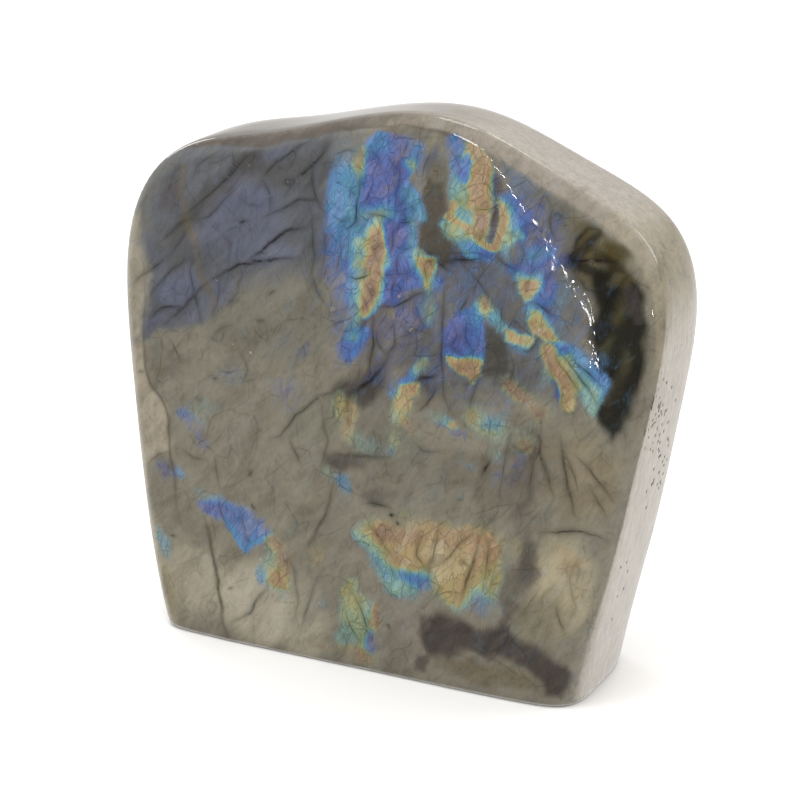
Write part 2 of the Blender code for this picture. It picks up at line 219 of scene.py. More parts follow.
# Flashes, from the lowest layer up: shape, order, strength and how soft the edge is, then, where
# the rim differs, its order and its width.
FLASHES = (
    # a faint haze among the flashes of the upper half
    (((-9, 92), (-2, 108), (20, 108), (36, 100), (42, 88), (46, 70), (30, 60), (2, 60), (-8, 68)),
        0.14, 0.17, 4),
    ((20, 80, 6, 4, -30), 0.2, 0.24, 3),
    ((10, 70, 5, 3, 40), 0.08, 0.22, 2.5),
    ((36, 80, 3, 6), 0.4, 0.2, 2.5),
    ((14, 95, 3.4, 9, 5), 0.3, 0, 1.2),
    ((26.4, 69.5, 3, 5), 0.3, 0, 1.2),
    # the tall blue flash left of the middle
    (((-9.4, 90.5), (-5.5, 89.8), (-4.6, 86), (-5.4, 82), (-6, 78), (-8.4, 80), (-9.6, 85)),
        0.12, 0.42, 2),
    (((-6, 102), (-3.6, 101.2), (-3.2, 97), (-3.2, 93.2), (-4.4, 90.6), (-7.6, 90), (-9.4, 91),
        (-9.4, 95), (-8.2, 99)),
        0.25, 0.85, 1.4),
    ((-6, 95.6, 1.3, 5.6, 4), 0.38, 0.9, 1.6),
    ((-8.7, 93, 0.8, 4), 0.16, 0.6, 1.2),
    (((-2.6, 102), (-1.2, 101.5), (-0.6, 104), (-1.4, 106), (1, 108.6), (5, 109.3), (9.4, 107.8),
        (8.6, 104.6), (7, 101), (7.6, 99.2), (10, 97.6), (10.8, 94.6), (9.4, 93.4), (9.4, 89),
        (10.2, 86.4), (10.3, 83), (10.6, 80.4), (8, 78.6), (6, 76.9), (2.2, 76.6), (2.4, 79), (3, 84),
        (3, 87), (2.4, 89.5), (0.6, 91), (-1.6, 93), (-3, 95), (-3.2, 99)),
        0.17, 0.9, 0.9),
    ((5, 106.6, 3, 2.6), 0.07, 0.55, 1.6),
    ((0.8, 106.4, 2, 2.2, 20), 0.27, 0.85, 1.2),
    ((8.6, 107, 1.4, 2), 0.26, 0.55, 1.2),
    ((2.4, 103.6, 1.2, 1.8), 0.24, 0.8, 1),
    ((-1.7, 97.5, 1, 4), 0.12, 0.85, 0.8),
    ((-3.1, 97.6, 0.5, 2.2), 0.36, 0.8, 0.6),
    ((1, 98.4, 2.2, 4.4, 5), 0.1, 0.85, 1.2),
    ((4.6, 101, 1, 4, 10), 0.08, 0.45, 1),
    ((4, 95, 2, 1.6, -20), 0.19, 1, 0.8),
    ((6.6, 94.4, 1.5, 1.6), 0.1, 0.95, 0.6),
    ((1.2, 93.6, 2.6, 0.8, -8), 0.4, 0.35, 0.8),
    ((9, 96.8, 1.2, 2.6, -35), 0.33, 0.85, 0.8),
    ((10.6, 94.4, 0.6, 0.7), 0.4, 0.9, 0.4),
    ((8.6, 91.6, 0.6, 1.2), 0.5, 0.6, 0.6),
    ((6, 89, 2.6, 2.8), 0.07, 0.9, 1.2),
    ((8.9, 89.2, 0.6, 1.4), 0.36, 0.8, 0.5),
    ((7.6, 86, 1.6, 2.2), 0.2, 0.95, 0.8),
    ((7, 83, 2, 2.2), 0.11, 0.95, 1),
    ((5, 79, 2.2, 2), 0.09, 0.9, 1),
    ((-7.6, 96, 1.4, 5), 0.3, 0.9, 1.2),
    ((7.2, 103.6, 1, 1.4, 10), 0.52, 0.75, 0.6),
    ((6.2, 102.2, 0.9, 1), 0.12, 0.9, 0.6),
    ((-2.4, 103.2, 0.8, 1.8), 0.66, 0.35, 0.8),
    (((-4.6, 89.6), (-2.4, 91), (0, 92.6), (1.2, 91.2), (0.3, 89), (-0.9, 87.4), (-0.8, 85.4), (-2, 84),
        (-2.4, 82), (-3.6, 80.6), (-5.6, 82), (-5.4, 86)),
        0.34, 0.9, 0.9),
    ((-3.2, 85.6, 1.5, 1.5), 0.42, 0.95, 0.8),
    ((-2.3, 87.2, 1.1, 0.8, 25), 0.54, 0.95, 0.5),
    ((-0.6, 87.6, 0.6, 1.8), 0.64, 0.9, 0.5),
    ((-3.8, 82.6, 1.2, 1.2), 0.24, 0.85, 0.7),
    ((-2.2, 83.8, 0.9, 0.7), 0.5, 0.7, 0.5),
    (((0.2, 90.8), (1.4, 90.4), (2.8, 89.2), (3.2, 87), (3.2, 84.4), (2.9, 82), (2.4, 79.5), (1.7, 77),
        (0.7, 74.4), (0.1, 73.8), (-1.2, 73), (-2.8, 73.8), (-3.3, 77), (-2.6, 79.4), (-1.2, 80.9),
        (0.1, 81.8), (0.4, 83), (-0.4, 84.6), (-1, 86), (-0.4, 88)),
        0.97, 0.95, 0.5, 0.5, 1.1),
    ((0.6, 87, 0.8, 2.8, 8), 0.84, 0.9, 0.8),
    ((1.6, 87, 0.8, 2, -20), 0.96, 0.7, 0.6),
    ((1, 84, 1.2, 1.2), 0.96, 0.7, 0.8),
    ((-2.2, 77.4, 0.6, 2.6, 8), 0.76, 0.95, 0.6),
    ((0.3, (1.7, 81), (1.4, 78.6), (0.9, 76.4)), 0.88, 0.95, 0.4),
    ((0.25, (2.3, 80.6), (1.8, 77.4), (0.8, 74.8)), 0.68, 0.95, 0.4),
    ((0.3, (2.9, 81), (2.3, 77.4), (1.2, 74.4)), 0.42, 0.95, 0.4),
    ((0.3, (3.5, 86), (3.3, 83.4)), 0.44, 0.8, 0.4),
    ((-4, 77.2, 0.9, 2.6, 8), 0.4, 0.85, 0.8),
    ((-5.6, 78.2, 1.2, 2.8, 8), 0.27, 0.7, 1),
    ((-3.9, 73.6, 1, 3, 8), 0.5, 0.6, 1),
    ((-4.3, 70.6, 0.9, 1.8, 8), 0.42, 0.5, 1),
    ((-6.4, 73, 1.2, 6, 2), 0.14, 0.25, 1.4),
    (((-4.8, 67.8), (-2.6, 69.5), (-0.4, 71), (0.2, 70), (-1, 67.6), (-2.2, 65), (-4, 63.6),
        (-6.2, 64.6), (-6, 66.6)),
        0.16, 0.8, 1.1),
    ((-2.2, 69.6, 1.5, 0.8, -35), 0.29, 0.9, 0.7),
    ((-3.2, 68.4, 0.7, 0.7), 0.4, 0.8, 0.6),
    (((9, 87), (9.4, 84.6), (10.8, 82.8), (12, 80.8), (12.8, 82), (13.4, 84.6), (12.9, 86.8),
        (11, 86.8), (10.2, 88.2)),
        0.84, 0.95, 0.5, 0.45, 1),
    ((10.2, 87.8, 0.9, 0.8), 0.52, 0.5, 0.7),
    ((12.4, 80.6, 0.5, 1.2), 0.66, 0.8, 0.5),
    ((14.3, 81.4, 0.8, 1.3), 0.17, 0.6, 0.7),
    ((8, 73.9, 1.6, 4.4, 68), 0.04, 0.5, 1.4),
    ((5, 72, 1.4, 1.4), 0.06, 0.35, 1.2),
    ((12.6, 76, 0.9, 1.4), 0.48, 0.35, 0.9),
    # the gold and cyan flash right of it
    ((17.2, 104.4, 0.7, 2.2, 10), 0.3, 0.7, 0.7),
    ((0.9, (16.6, 110.4), (17.6, 107), (18.8, 103.6)), 0.2, 0.6, 0.9),
    (((19.2, 109), (22.4, 109.4), (24.4, 105), (24.5, 100), (24, 97), (22, 96.4), (20.8, 96.9),
        (19.6, 98.2), (19, 100), (19.6, 102.6)),
        0.96, 0.85, 0.5, 0.7, 1.3),
    ((20.4, 99.8, 1, 2.8), 0.83, 0.95, 0.9),
    ((21.4, 106.4, 1.5, 2.4), 0.82, 0.6, 1),
    (((19.8, 106.4), (20.4, 105), (19.8, 102.6), (18.7, 100.6), (17.5, 100.8), (18, 103.6)),
        0.16, 0.85, 0.5),
    ((17.2, 99.6, 0.9, 2.2), 0.44, 0.9, 0.6),
    ((18.6, 99, 0.7, 1.6), 0.52, 0.95, 0.5),
    (((20.8, 96.7), (22, 97), (24, 96), (24.3, 93.4), (23.2, 91.2), (21.4, 92.4), (20.3, 93.6),
        (20.1, 95.6)),
        0.97, 0.85, 0.5, 0.7, 1),
    (((16.3, 95.2), (17, 97.6), (19, 97.9), (20.4, 96.4), (20.4, 94), (19, 93.4), (17.2, 94.4)),
        0.44, 0.95, 0.4, 0.58, 0.7),
    ((0.35, (16.2, 95.9), (16.8, 97.2)), 0.84, 0.7, 0.4),
    (((14.2, 93.2), (15.4, 95.3), (17, 94.7), (20, 93.2), (22.8, 91.5), (25.2, 89.4), (25, 88.6),
        (22, 87.2), (20.5, 87.4), (18, 89.8), (15.5, 91)),
        0.4, 0.92, 0.6),
    ((17.2, 92.6, 1.6, 1.3, -30), 0.6, 0.9, 0.9),
    ((20.6, 91.4, 0.7, 2, -62), 0.56, 0.9, 0.6),
    ((22.6, 88.9, 0.9, 2.2, -70), 0.26, 0.9, 0.7),
    ((24.4, 88.9, 0.9, 0.7), 0.14, 0.8, 0.6),
    ((0.35, (15.6, 95.2), (18.6, 93.9), (21.4, 92.3), (25, 89.6)), 0.82, 0.95, 0.35),
    (((26, 101), (28, 101.2), (30, 99.6), (32, 97.6), (33.2, 95.8), (31.6, 94.8), (31.2, 92.2),
        (28.2, 90.8), (26.7, 90), (27.4, 95), (26.2, 98.6)),
        0.3, 0.9, 0.9),
    ((31.6, 96.8, 1.2, 2.4, -40), 0.2, 0.8, 1),
    ((27.6, 94.8, 0.7, 4.6, 2), 0.46, 0.9, 0.7),
    ((28.2, 92, 1.2, 1.2), 0.56, 0.9, 0.8),
    ((30.3, 93.2, 0.9, 0.8), 0.42, 0.85, 0.6),
    ((0.3, (26.2, 99), (27.2, 95.6), (27.1, 92.6), (26.2, 90)), 0.66, 0.9, 0.35),
    ((0.4, (25.7, 99.6), (26.7, 95.6), (26.6, 92.6), (25.5, 89.6)), 0.9, 0.9, 0.35),
    ((33.8, 98, 2, 5, -38), 0.1, 0.32, 1.8),
    ((28.5, 103, 2.6, 1.6, -30), 0.2, 0.2, 1.6),
    ((35.2, 93.2, 2.4, 2.6, -40), 0.08, 0.35, 1.5),
    ((37, 90.2, 1.4, 2.2, -40), 0.04, 0.4, 1.2),
    # small flashes towards the corner
    (((31, 90.6), (33, 91.4), (36, 91), (38.6, 88.6), (37, 86.4), (33, 86.2), (30, 85.2), (29, 86.2),
        (31, 88.6)),
        0.13, 0.62, 1),
    ((33.6, 89.4, 2, 0.9, -10), 0.3, 0.5, 0.9),
    ((29.4, 86, 1.2, 0.6, 10), 0.17, 0.7, 0.6),
    ((0.5, (30.2, 84.7), (32.4, 84.9), (34.8, 85.7)), 0.4, 0.9, 0.5),
    (((30.7, 84.1), (33, 84.4), (34.8, 85), (34.6, 83), (33.2, 80.8), (32.2, 80.3), (31.3, 82)),
        0.92, 0.92, 0.5, 0.62, 0.7),
    ((35.3, 83, 0.7, 1.8, 10), 0.44, 0.85, 0.6),
    ((36.6, 83.2, 1, 2.6, 5), 0.09, 0.7, 0.9),
    ((35.4, 81, 1.4, 0.9), 0.18, 0.65, 0.8),
    ((33, 79.3, 1, 0.8), 0.27, 0.75, 0.6),
    ((37.6, 78, 1.4, 1.2), 0.14, 0.45, 1),
    (((32.6, 77.2), (33.2, 79.2), (34.8, 79.4), (36.8, 77.6), (38.7, 75.2), (40, 73.4), (38.4, 73),
        (36.4, 73.6), (34.4, 74.8), (33.4, 76)),
        0.66, 0.9, 0.6, 0.46, 0.9),
    ((0.5, (33.8, 76.2), (34.7, 75), (37, 74.5), (38.9, 73.6)), 0.83, 0.85, 0.6),
    (((16, 69.6), (16.3, 73.6), (18.4, 76.2), (21, 77.5), (22.9, 77), (23.4, 74.6), (23.3, 71),
        (23.4, 67.3), (21, 66.9), (17.4, 66.8), (16.2, 68)),
        0.15, 0.95, 0.5),
    ((18.2, 72.4, 1.6, 2.2, 10), 0.08, 0.9, 1),
    ((21.8, 75.6, 1.1, 1.6), 0.26, 0.95, 0.8),
    ((0.35, (17, 67.6), (20.5, 67.5), (23.2, 67.9)), 0.36, 0.95, 0.4),
    ((0.3, (17, 67), (20.5, 66.9), (23.2, 67.2)), 0.62, 0.95, 0.3),
    (((17.3, 66.6), (23.3, 66.8), (23, 64.4), (22.2, 63), (20.4, 64.2), (18.6, 65.2)), 0.86, 0.9, 0.6),
    ((24.6, 77.2, 1.5, 0.9), 0.54, 0.85, 0.6),
    ((22.6, 77.8, 1, 0.6), 0.42, 0.85, 0.5),
    ((23.9, 78.8, 0.8, 1.1), 0.86, 0.5, 0.7),
    ((26, 76, 0.8, 1.2, -30), 0.38, 0.8, 0.6),
    ((27.2, 74.8, 0.8, 1.5), 0.41, 0.8, 0.6),
    (((27.8, 74.8), (29.5, 74.5), (31.3, 73.4), (33.8, 73), (33.2, 70.9), (31, 70.8), (28.2, 71.9)),
        0.8, 0.85, 0.6, 0.46, 0.8),
    ((32.6, 72.2, 0.9, 0.8), 0.67, 0.8, 0.5),
    ((31.2, 70.5, 1.2, 0.5), 0.3, 0.45, 0.6),
    # the teal fan by the dark corner
    (((37.6, 73.2), (40, 73.8), (43, 72.8), (45.6, 70.8), (48.6, 67.6), (48.4, 65), (46.2, 61),
        (44, 63.6), (42, 66.6), (39, 69.8), (38, 71.4)),
        0.43, 0.85, 0.9),
    ((39.3, 72.5, 1.7, 0.7, -10), 0.17, 0.8, 0.7),
    ((40.4, 70, 1.2, 1, -30), 0.58, 0.85, 0.8),
    ((46.6, 68.8, 1, 2.6, -48), 0.24, 0.75, 0.8),
    ((45.6, 63.8, 1.2, 1.8, -20), 0.48, 0.75, 0.9),
    ((47.4, 71, 2, 1.6), 0.3, 0.3, 1.2),
    ((0.8, (41, 68.6), (42.2, 65.4)), 0.62, 0.75, 0.9),
    ((0.9, (37.9, 69.4), (39, 63.8)), 0.02, 0.5, 1),
    ((36.8, 67, 0.7, 2.4, 5), 0.45, 0.3, 0.9),
    ((1, (37.4, 71.6), (38.8, 69), (40.2, 65.6), (41.4, 62.4)), 0.87, 0.9, 0.7),
    ((41.5, 62.3, 1, 1.7, -10), 0.76, 0.9, 0.6),
    ((1, (30, 63.6), (33, 61.6), (36, 59.4)), 0.9, 0.45, 1.2),
    # faint flashes of the middle
    ((0.8, (7.2, 61.2), (8.5, 62.8), (10.2, 64.4)), 0.22, 0.8, 0.7),
    ((11, 65.4, 0.9, 1.5, 30), 0.54, 0.35, 0.9),
    (((5.8, 58), (6.2, 60), (8.5, 61.1), (10.4, 61.2), (10.6, 59.4), (8.6, 58.4), (8.3, 56.8),
        (7, 56.6)),
        0.88, 0.85, 0.7),
    ((7.2, 56.4, 1.5, 2.4, 5), 0.74, 0.75, 0.9),
    ((7, 53.8, 1.6, 1.1), 0.57, 0.55, 1),
    ((9.1, 52.6, 0.8, 0.8), 0.98, 0.4, 0.8),
    ((4.8, 59.4, 0.8, 1.4, 10), 0.3, 0.5, 0.8),
    ((2.4, 61.4, 1.2, 2, 40), 0.18, 0.25, 1),
    ((-6.6, 54.4, 1.6, 2.2, 10), 0.64, 0.5, 1.1),
    ((-3.3, 55.4, 1.2, 1.4), 0.66, 0.45, 0.9),
    ((-3.6, 52.6, 0.8, 2), 0.74, 0.5, 0.8),
    ((-4.2, 50.4, 1.2, 1.3), 0.84, 0.6, 0.8),
    ((-4, 48.8, 0.9, 0.6), 0.98, 0.4, 0.6),
    ((-0.6, 48.6, 2.4, 1.5), 0.44, 0.32, 1.2),
    ((5.8, 49.5, 1.1, 1.8, 10), 0.6, 0.42, 0.9),
    ((4.6, 47.4, 0.9, 0.8), 0.37, 0.35, 0.7),
    (((20.6, 57.4), (22.8, 58.6), (25, 57.6), (27.5, 57.2), (29.8, 55), (28, 52.8), (25.5, 53.8),
        (23.5, 54.2), (21.8, 55.8)),
        0.48, 0.5, 1.6),
    ((22, 57.4, 1.4, 1), 0.64, 0.4, 0.9),
    ((24.5, 54.8, 1.4, 0.9, 20), 0.6, 0.45, 0.9),
    ((25.9, 56.7, 1.5, 0.8, -20), 0.37, 0.5, 0.8),
    ((32, 54, 2.2, 1.6), 0.52, 0.25, 1.2),
    ((33, 52, 0.9, 0.8), 0.96, 0.3, 0.8),
    ((27, 50, 1.8, 1.2), 0.45, 0.3, 1.1),
    ((21.2, 46.3, 1.3, 1), 0.34, 0.32, 0.9),
    ((32, 48.4, 2, 2), 0.06, 0.22, 1.5),
    ((28.6, 45.6, 2, 1.4), 0.04, 0.22, 1.2),
    ((16, 55.3, 1.4, 0.9, -20), 0.29, 0.6, 0.7),
    ((13.4, 56, 1.6, 0.9), 0.45, 0.3, 0.9),
    ((17.8, 54.8, 0.7, 0.5), 0.8, 0.55, 0.5),
    ((19, 53.1, 1.4, 0.7), 0.04, 0.4, 0.7),
    ((-7.8, 41.3, 1.3, 1.1), 0.52, 0.42, 0.8),
    ((-4.5, 39.6, 1.5, 1.6), 0.3, 0.42, 0.9),
    # the gold fan low on the right
    (((1.2, 25.2), (3.5, 25.6), (6, 24.6), (9, 24.8), (12.5, 24.8), (14, 23), (12.4, 20.4), (10, 18.4),
        (7, 17.8), (5, 18.8), (2.8, 21.6)),
        0.4, 0.75, 1.6),
    ((7, 19.4, 2.2, 1.3), 0.46, 0.7, 1),
    ((10.4, 23, 1.6, 1.3), 0.18, 0.75, 1),
    ((13, 22, 1.2, 1.6), 0.24, 0.55, 0.9),
    (((21.5, 24.5), (25, 25.4), (28.6, 24.6), (28.8, 21.6), (26, 18.8), (23, 18.6), (21, 20.4)),
        0.42, 0.5, 2),
    ((23.6, 18, 2.4, 1.4), 0.24, 0.3, 1.4),
    ((0.9, (-1.8, 28.4), (2, 26.6), (6, 24.9), (9, 24.4), (12, 24.6)), 0.42, 0.7, 1),
    (((-1.2, 30.2), (1, 31.9), (3, 32.4), (5, 31.4), (8, 31.2), (11, 32.2), (13, 33.2), (16, 33.8),
        (19, 33.4), (22, 34), (24, 34.2), (26.4, 33.4), (27.6, 31.6), (28.2, 29), (28.8, 26),
        (27, 24.2), (24, 22.6), (22.5, 21), (21.3, 19), (20.3, 17.2), (19, 18.4), (17, 20.8),
        (15, 23.3), (12.5, 24.9), (10, 25.2), (7, 25.2), (4, 26.5), (1, 28.4), (-1, 29.6)),
        0.76, 0.85, 1.3, 0.58, 1.5),
    ((20, 33, 8, 1.4), 0.8, 0.6, 1.8),
    ((0.8, (4.5, 30.6), (8, 29.9), (12, 30.2)), 0.92, 0.5, 1),
    ((23.5, 30, 2.6, 3.4, 10), 0.8, 0.9, 1.4),
    ((26.6, 29.4, 1.2, 3.4, -8), 0.82, 0.85, 1.2),
    ((18.6, 24, 2.2, 4, 25), 0.73, 0.85, 1.4),
    ((10.5, 27.6, 3.4, 1.6), 0.74, 0.9, 1.2),
    ((27, 25, 1.6, 1.8), 0.62, 0.6, 1.2),
    ((8.4, 25.4, 1.8, 0.5), 0.82, 0.5, 0.6),
    # the blue and gold flashes low on the left
    (((-39, 29.4), (-37.6, 30.8), (-34, 31.2), (-30, 30.4), (-26, 29.6), (-23, 28.2), (-20.8, 25.8),
        (-22.5, 24.6), (-25, 24.2), (-26, 22), (-27, 20.8), (-28.6, 22.4), (-30, 24.4), (-32.5, 25.9),
        (-35, 27), (-37.5, 28.2)),
        0.17, 0.5, 0.9),
    ((-35.4, 29, 2.4, 1.4, -10), 0.05, 0.6, 1),
    ((-24.6, 26.8, 2, 1.4, -30), 0.18, 0.6, 0.9),
    ((0.5, (-31.6, 25.6), (-28.6, 22.4), (-27, 21.2), (-25.6, 23.4), (-23.6, 24.8)), 0.29, 0.85, 0.6),
    ((-37, 31.2, 2.8, 0.7, 5), 0.42, 0.3, 0.8),
    (((-22.6, 24.4), (-20.6, 25), (-19.4, 22.5), (-20, 20), (-22, 17.4), (-23.2, 18.4), (-22.3, 21.5)),
        0.52, 0.5, 1),
    ((0.8, (-20, 24), (-18.2, 21.4), (-17, 18.4)), 0.91, 0.42, 1),
    (((-21.6, 15.8), (-20.6, 18.6), (-19, 19.6), (-17.4, 17), (-17, 14.9), (-19, 14.2), (-21, 14.8)),
        0.8, 0.85, 0.8, 0.66, 0.9),
    ((-23.2, 16.2, 1.1, 1.9, 5), 0.36, 0.7, 0.8),
    ((-18.6, 12.6, 1.2, 1), 0.42, 0.28, 0.9),
    (((-43.8, 48.4), (-41, 49.2), (-38, 48.2), (-36.8, 46.4), (-39.5, 46.2), (-43, 46.8)),
        0.2, 0.5, 1.2),
    ((1, (-38.4, 45), (-36, 41.6)), 0.13, 0.3, 1.2),
    ((-36, 49.6, 2.4, 1.5), 0.44, 0.25, 1.2),
    ((-45.6, 35, 2.2, 1.5), 0.05, 0.34, 1.1),
    ((-42.7, 34.8, 1.2, 1.2), 0.33, 0.5, 0.8),
    ((-47.6, 18.4, 1.8, 2.7, -20), 0.4, 0.5, 1.2),
    ((-17, 56.4, 2.4, 3), 0.08, 0.22, 1.8),
    ((-30, 57.8, 3.2, 1.6), 0.2, 0.15, 1.4),
    ((-14.5, 65.5, 3, 1.8), 0.16, 0.15, 1.6),
    # the pale green flash at the foot
    (((-3.3, 18.8), (-1.8, 16.6), (0, 14.2), (1.3, 12), (1.1, 9), (0.3, 5), (-0.5, 4), (-3, 5.8),
        (-4.6, 8), (-5.6, 11), (-5.1, 14), (-4.3, 17.2)),
        0.55, 0.68, 1.1),
    ((-3, 16.6, 1.2, 2), 0.61, 0.6, 1),
    (((-7.2, 6.6), (-5.5, 8.6), (-3, 7), (-3.4, 4), (-6, 4.2)), 0.46, 0.5, 1),
    ((0.7, 12.6, 0.6, 1.6), 0.45, 0.6, 0.7),
    ((0.45, (2.1, 14), (2.2, 11.6), (1.9, 9.4)), 0.93, 0.5, 0.6),
    ((1.4, 6, 0.8, 1.6), 0.03, 0.35, 0.8),
    ((-1.2, 3.2, 2.2, 0.8), 0.9, 0.45, 0.9),
    ((-11, 22.8, 1.8, 2), 0.68, 0.3, 1.2),
    ((-11.4, 3.2, 2.4, 1), 0.93, 0.25, 1),
    ((-9.6, 13, 2, 2), 0.34, 0.15, 1.4),
)

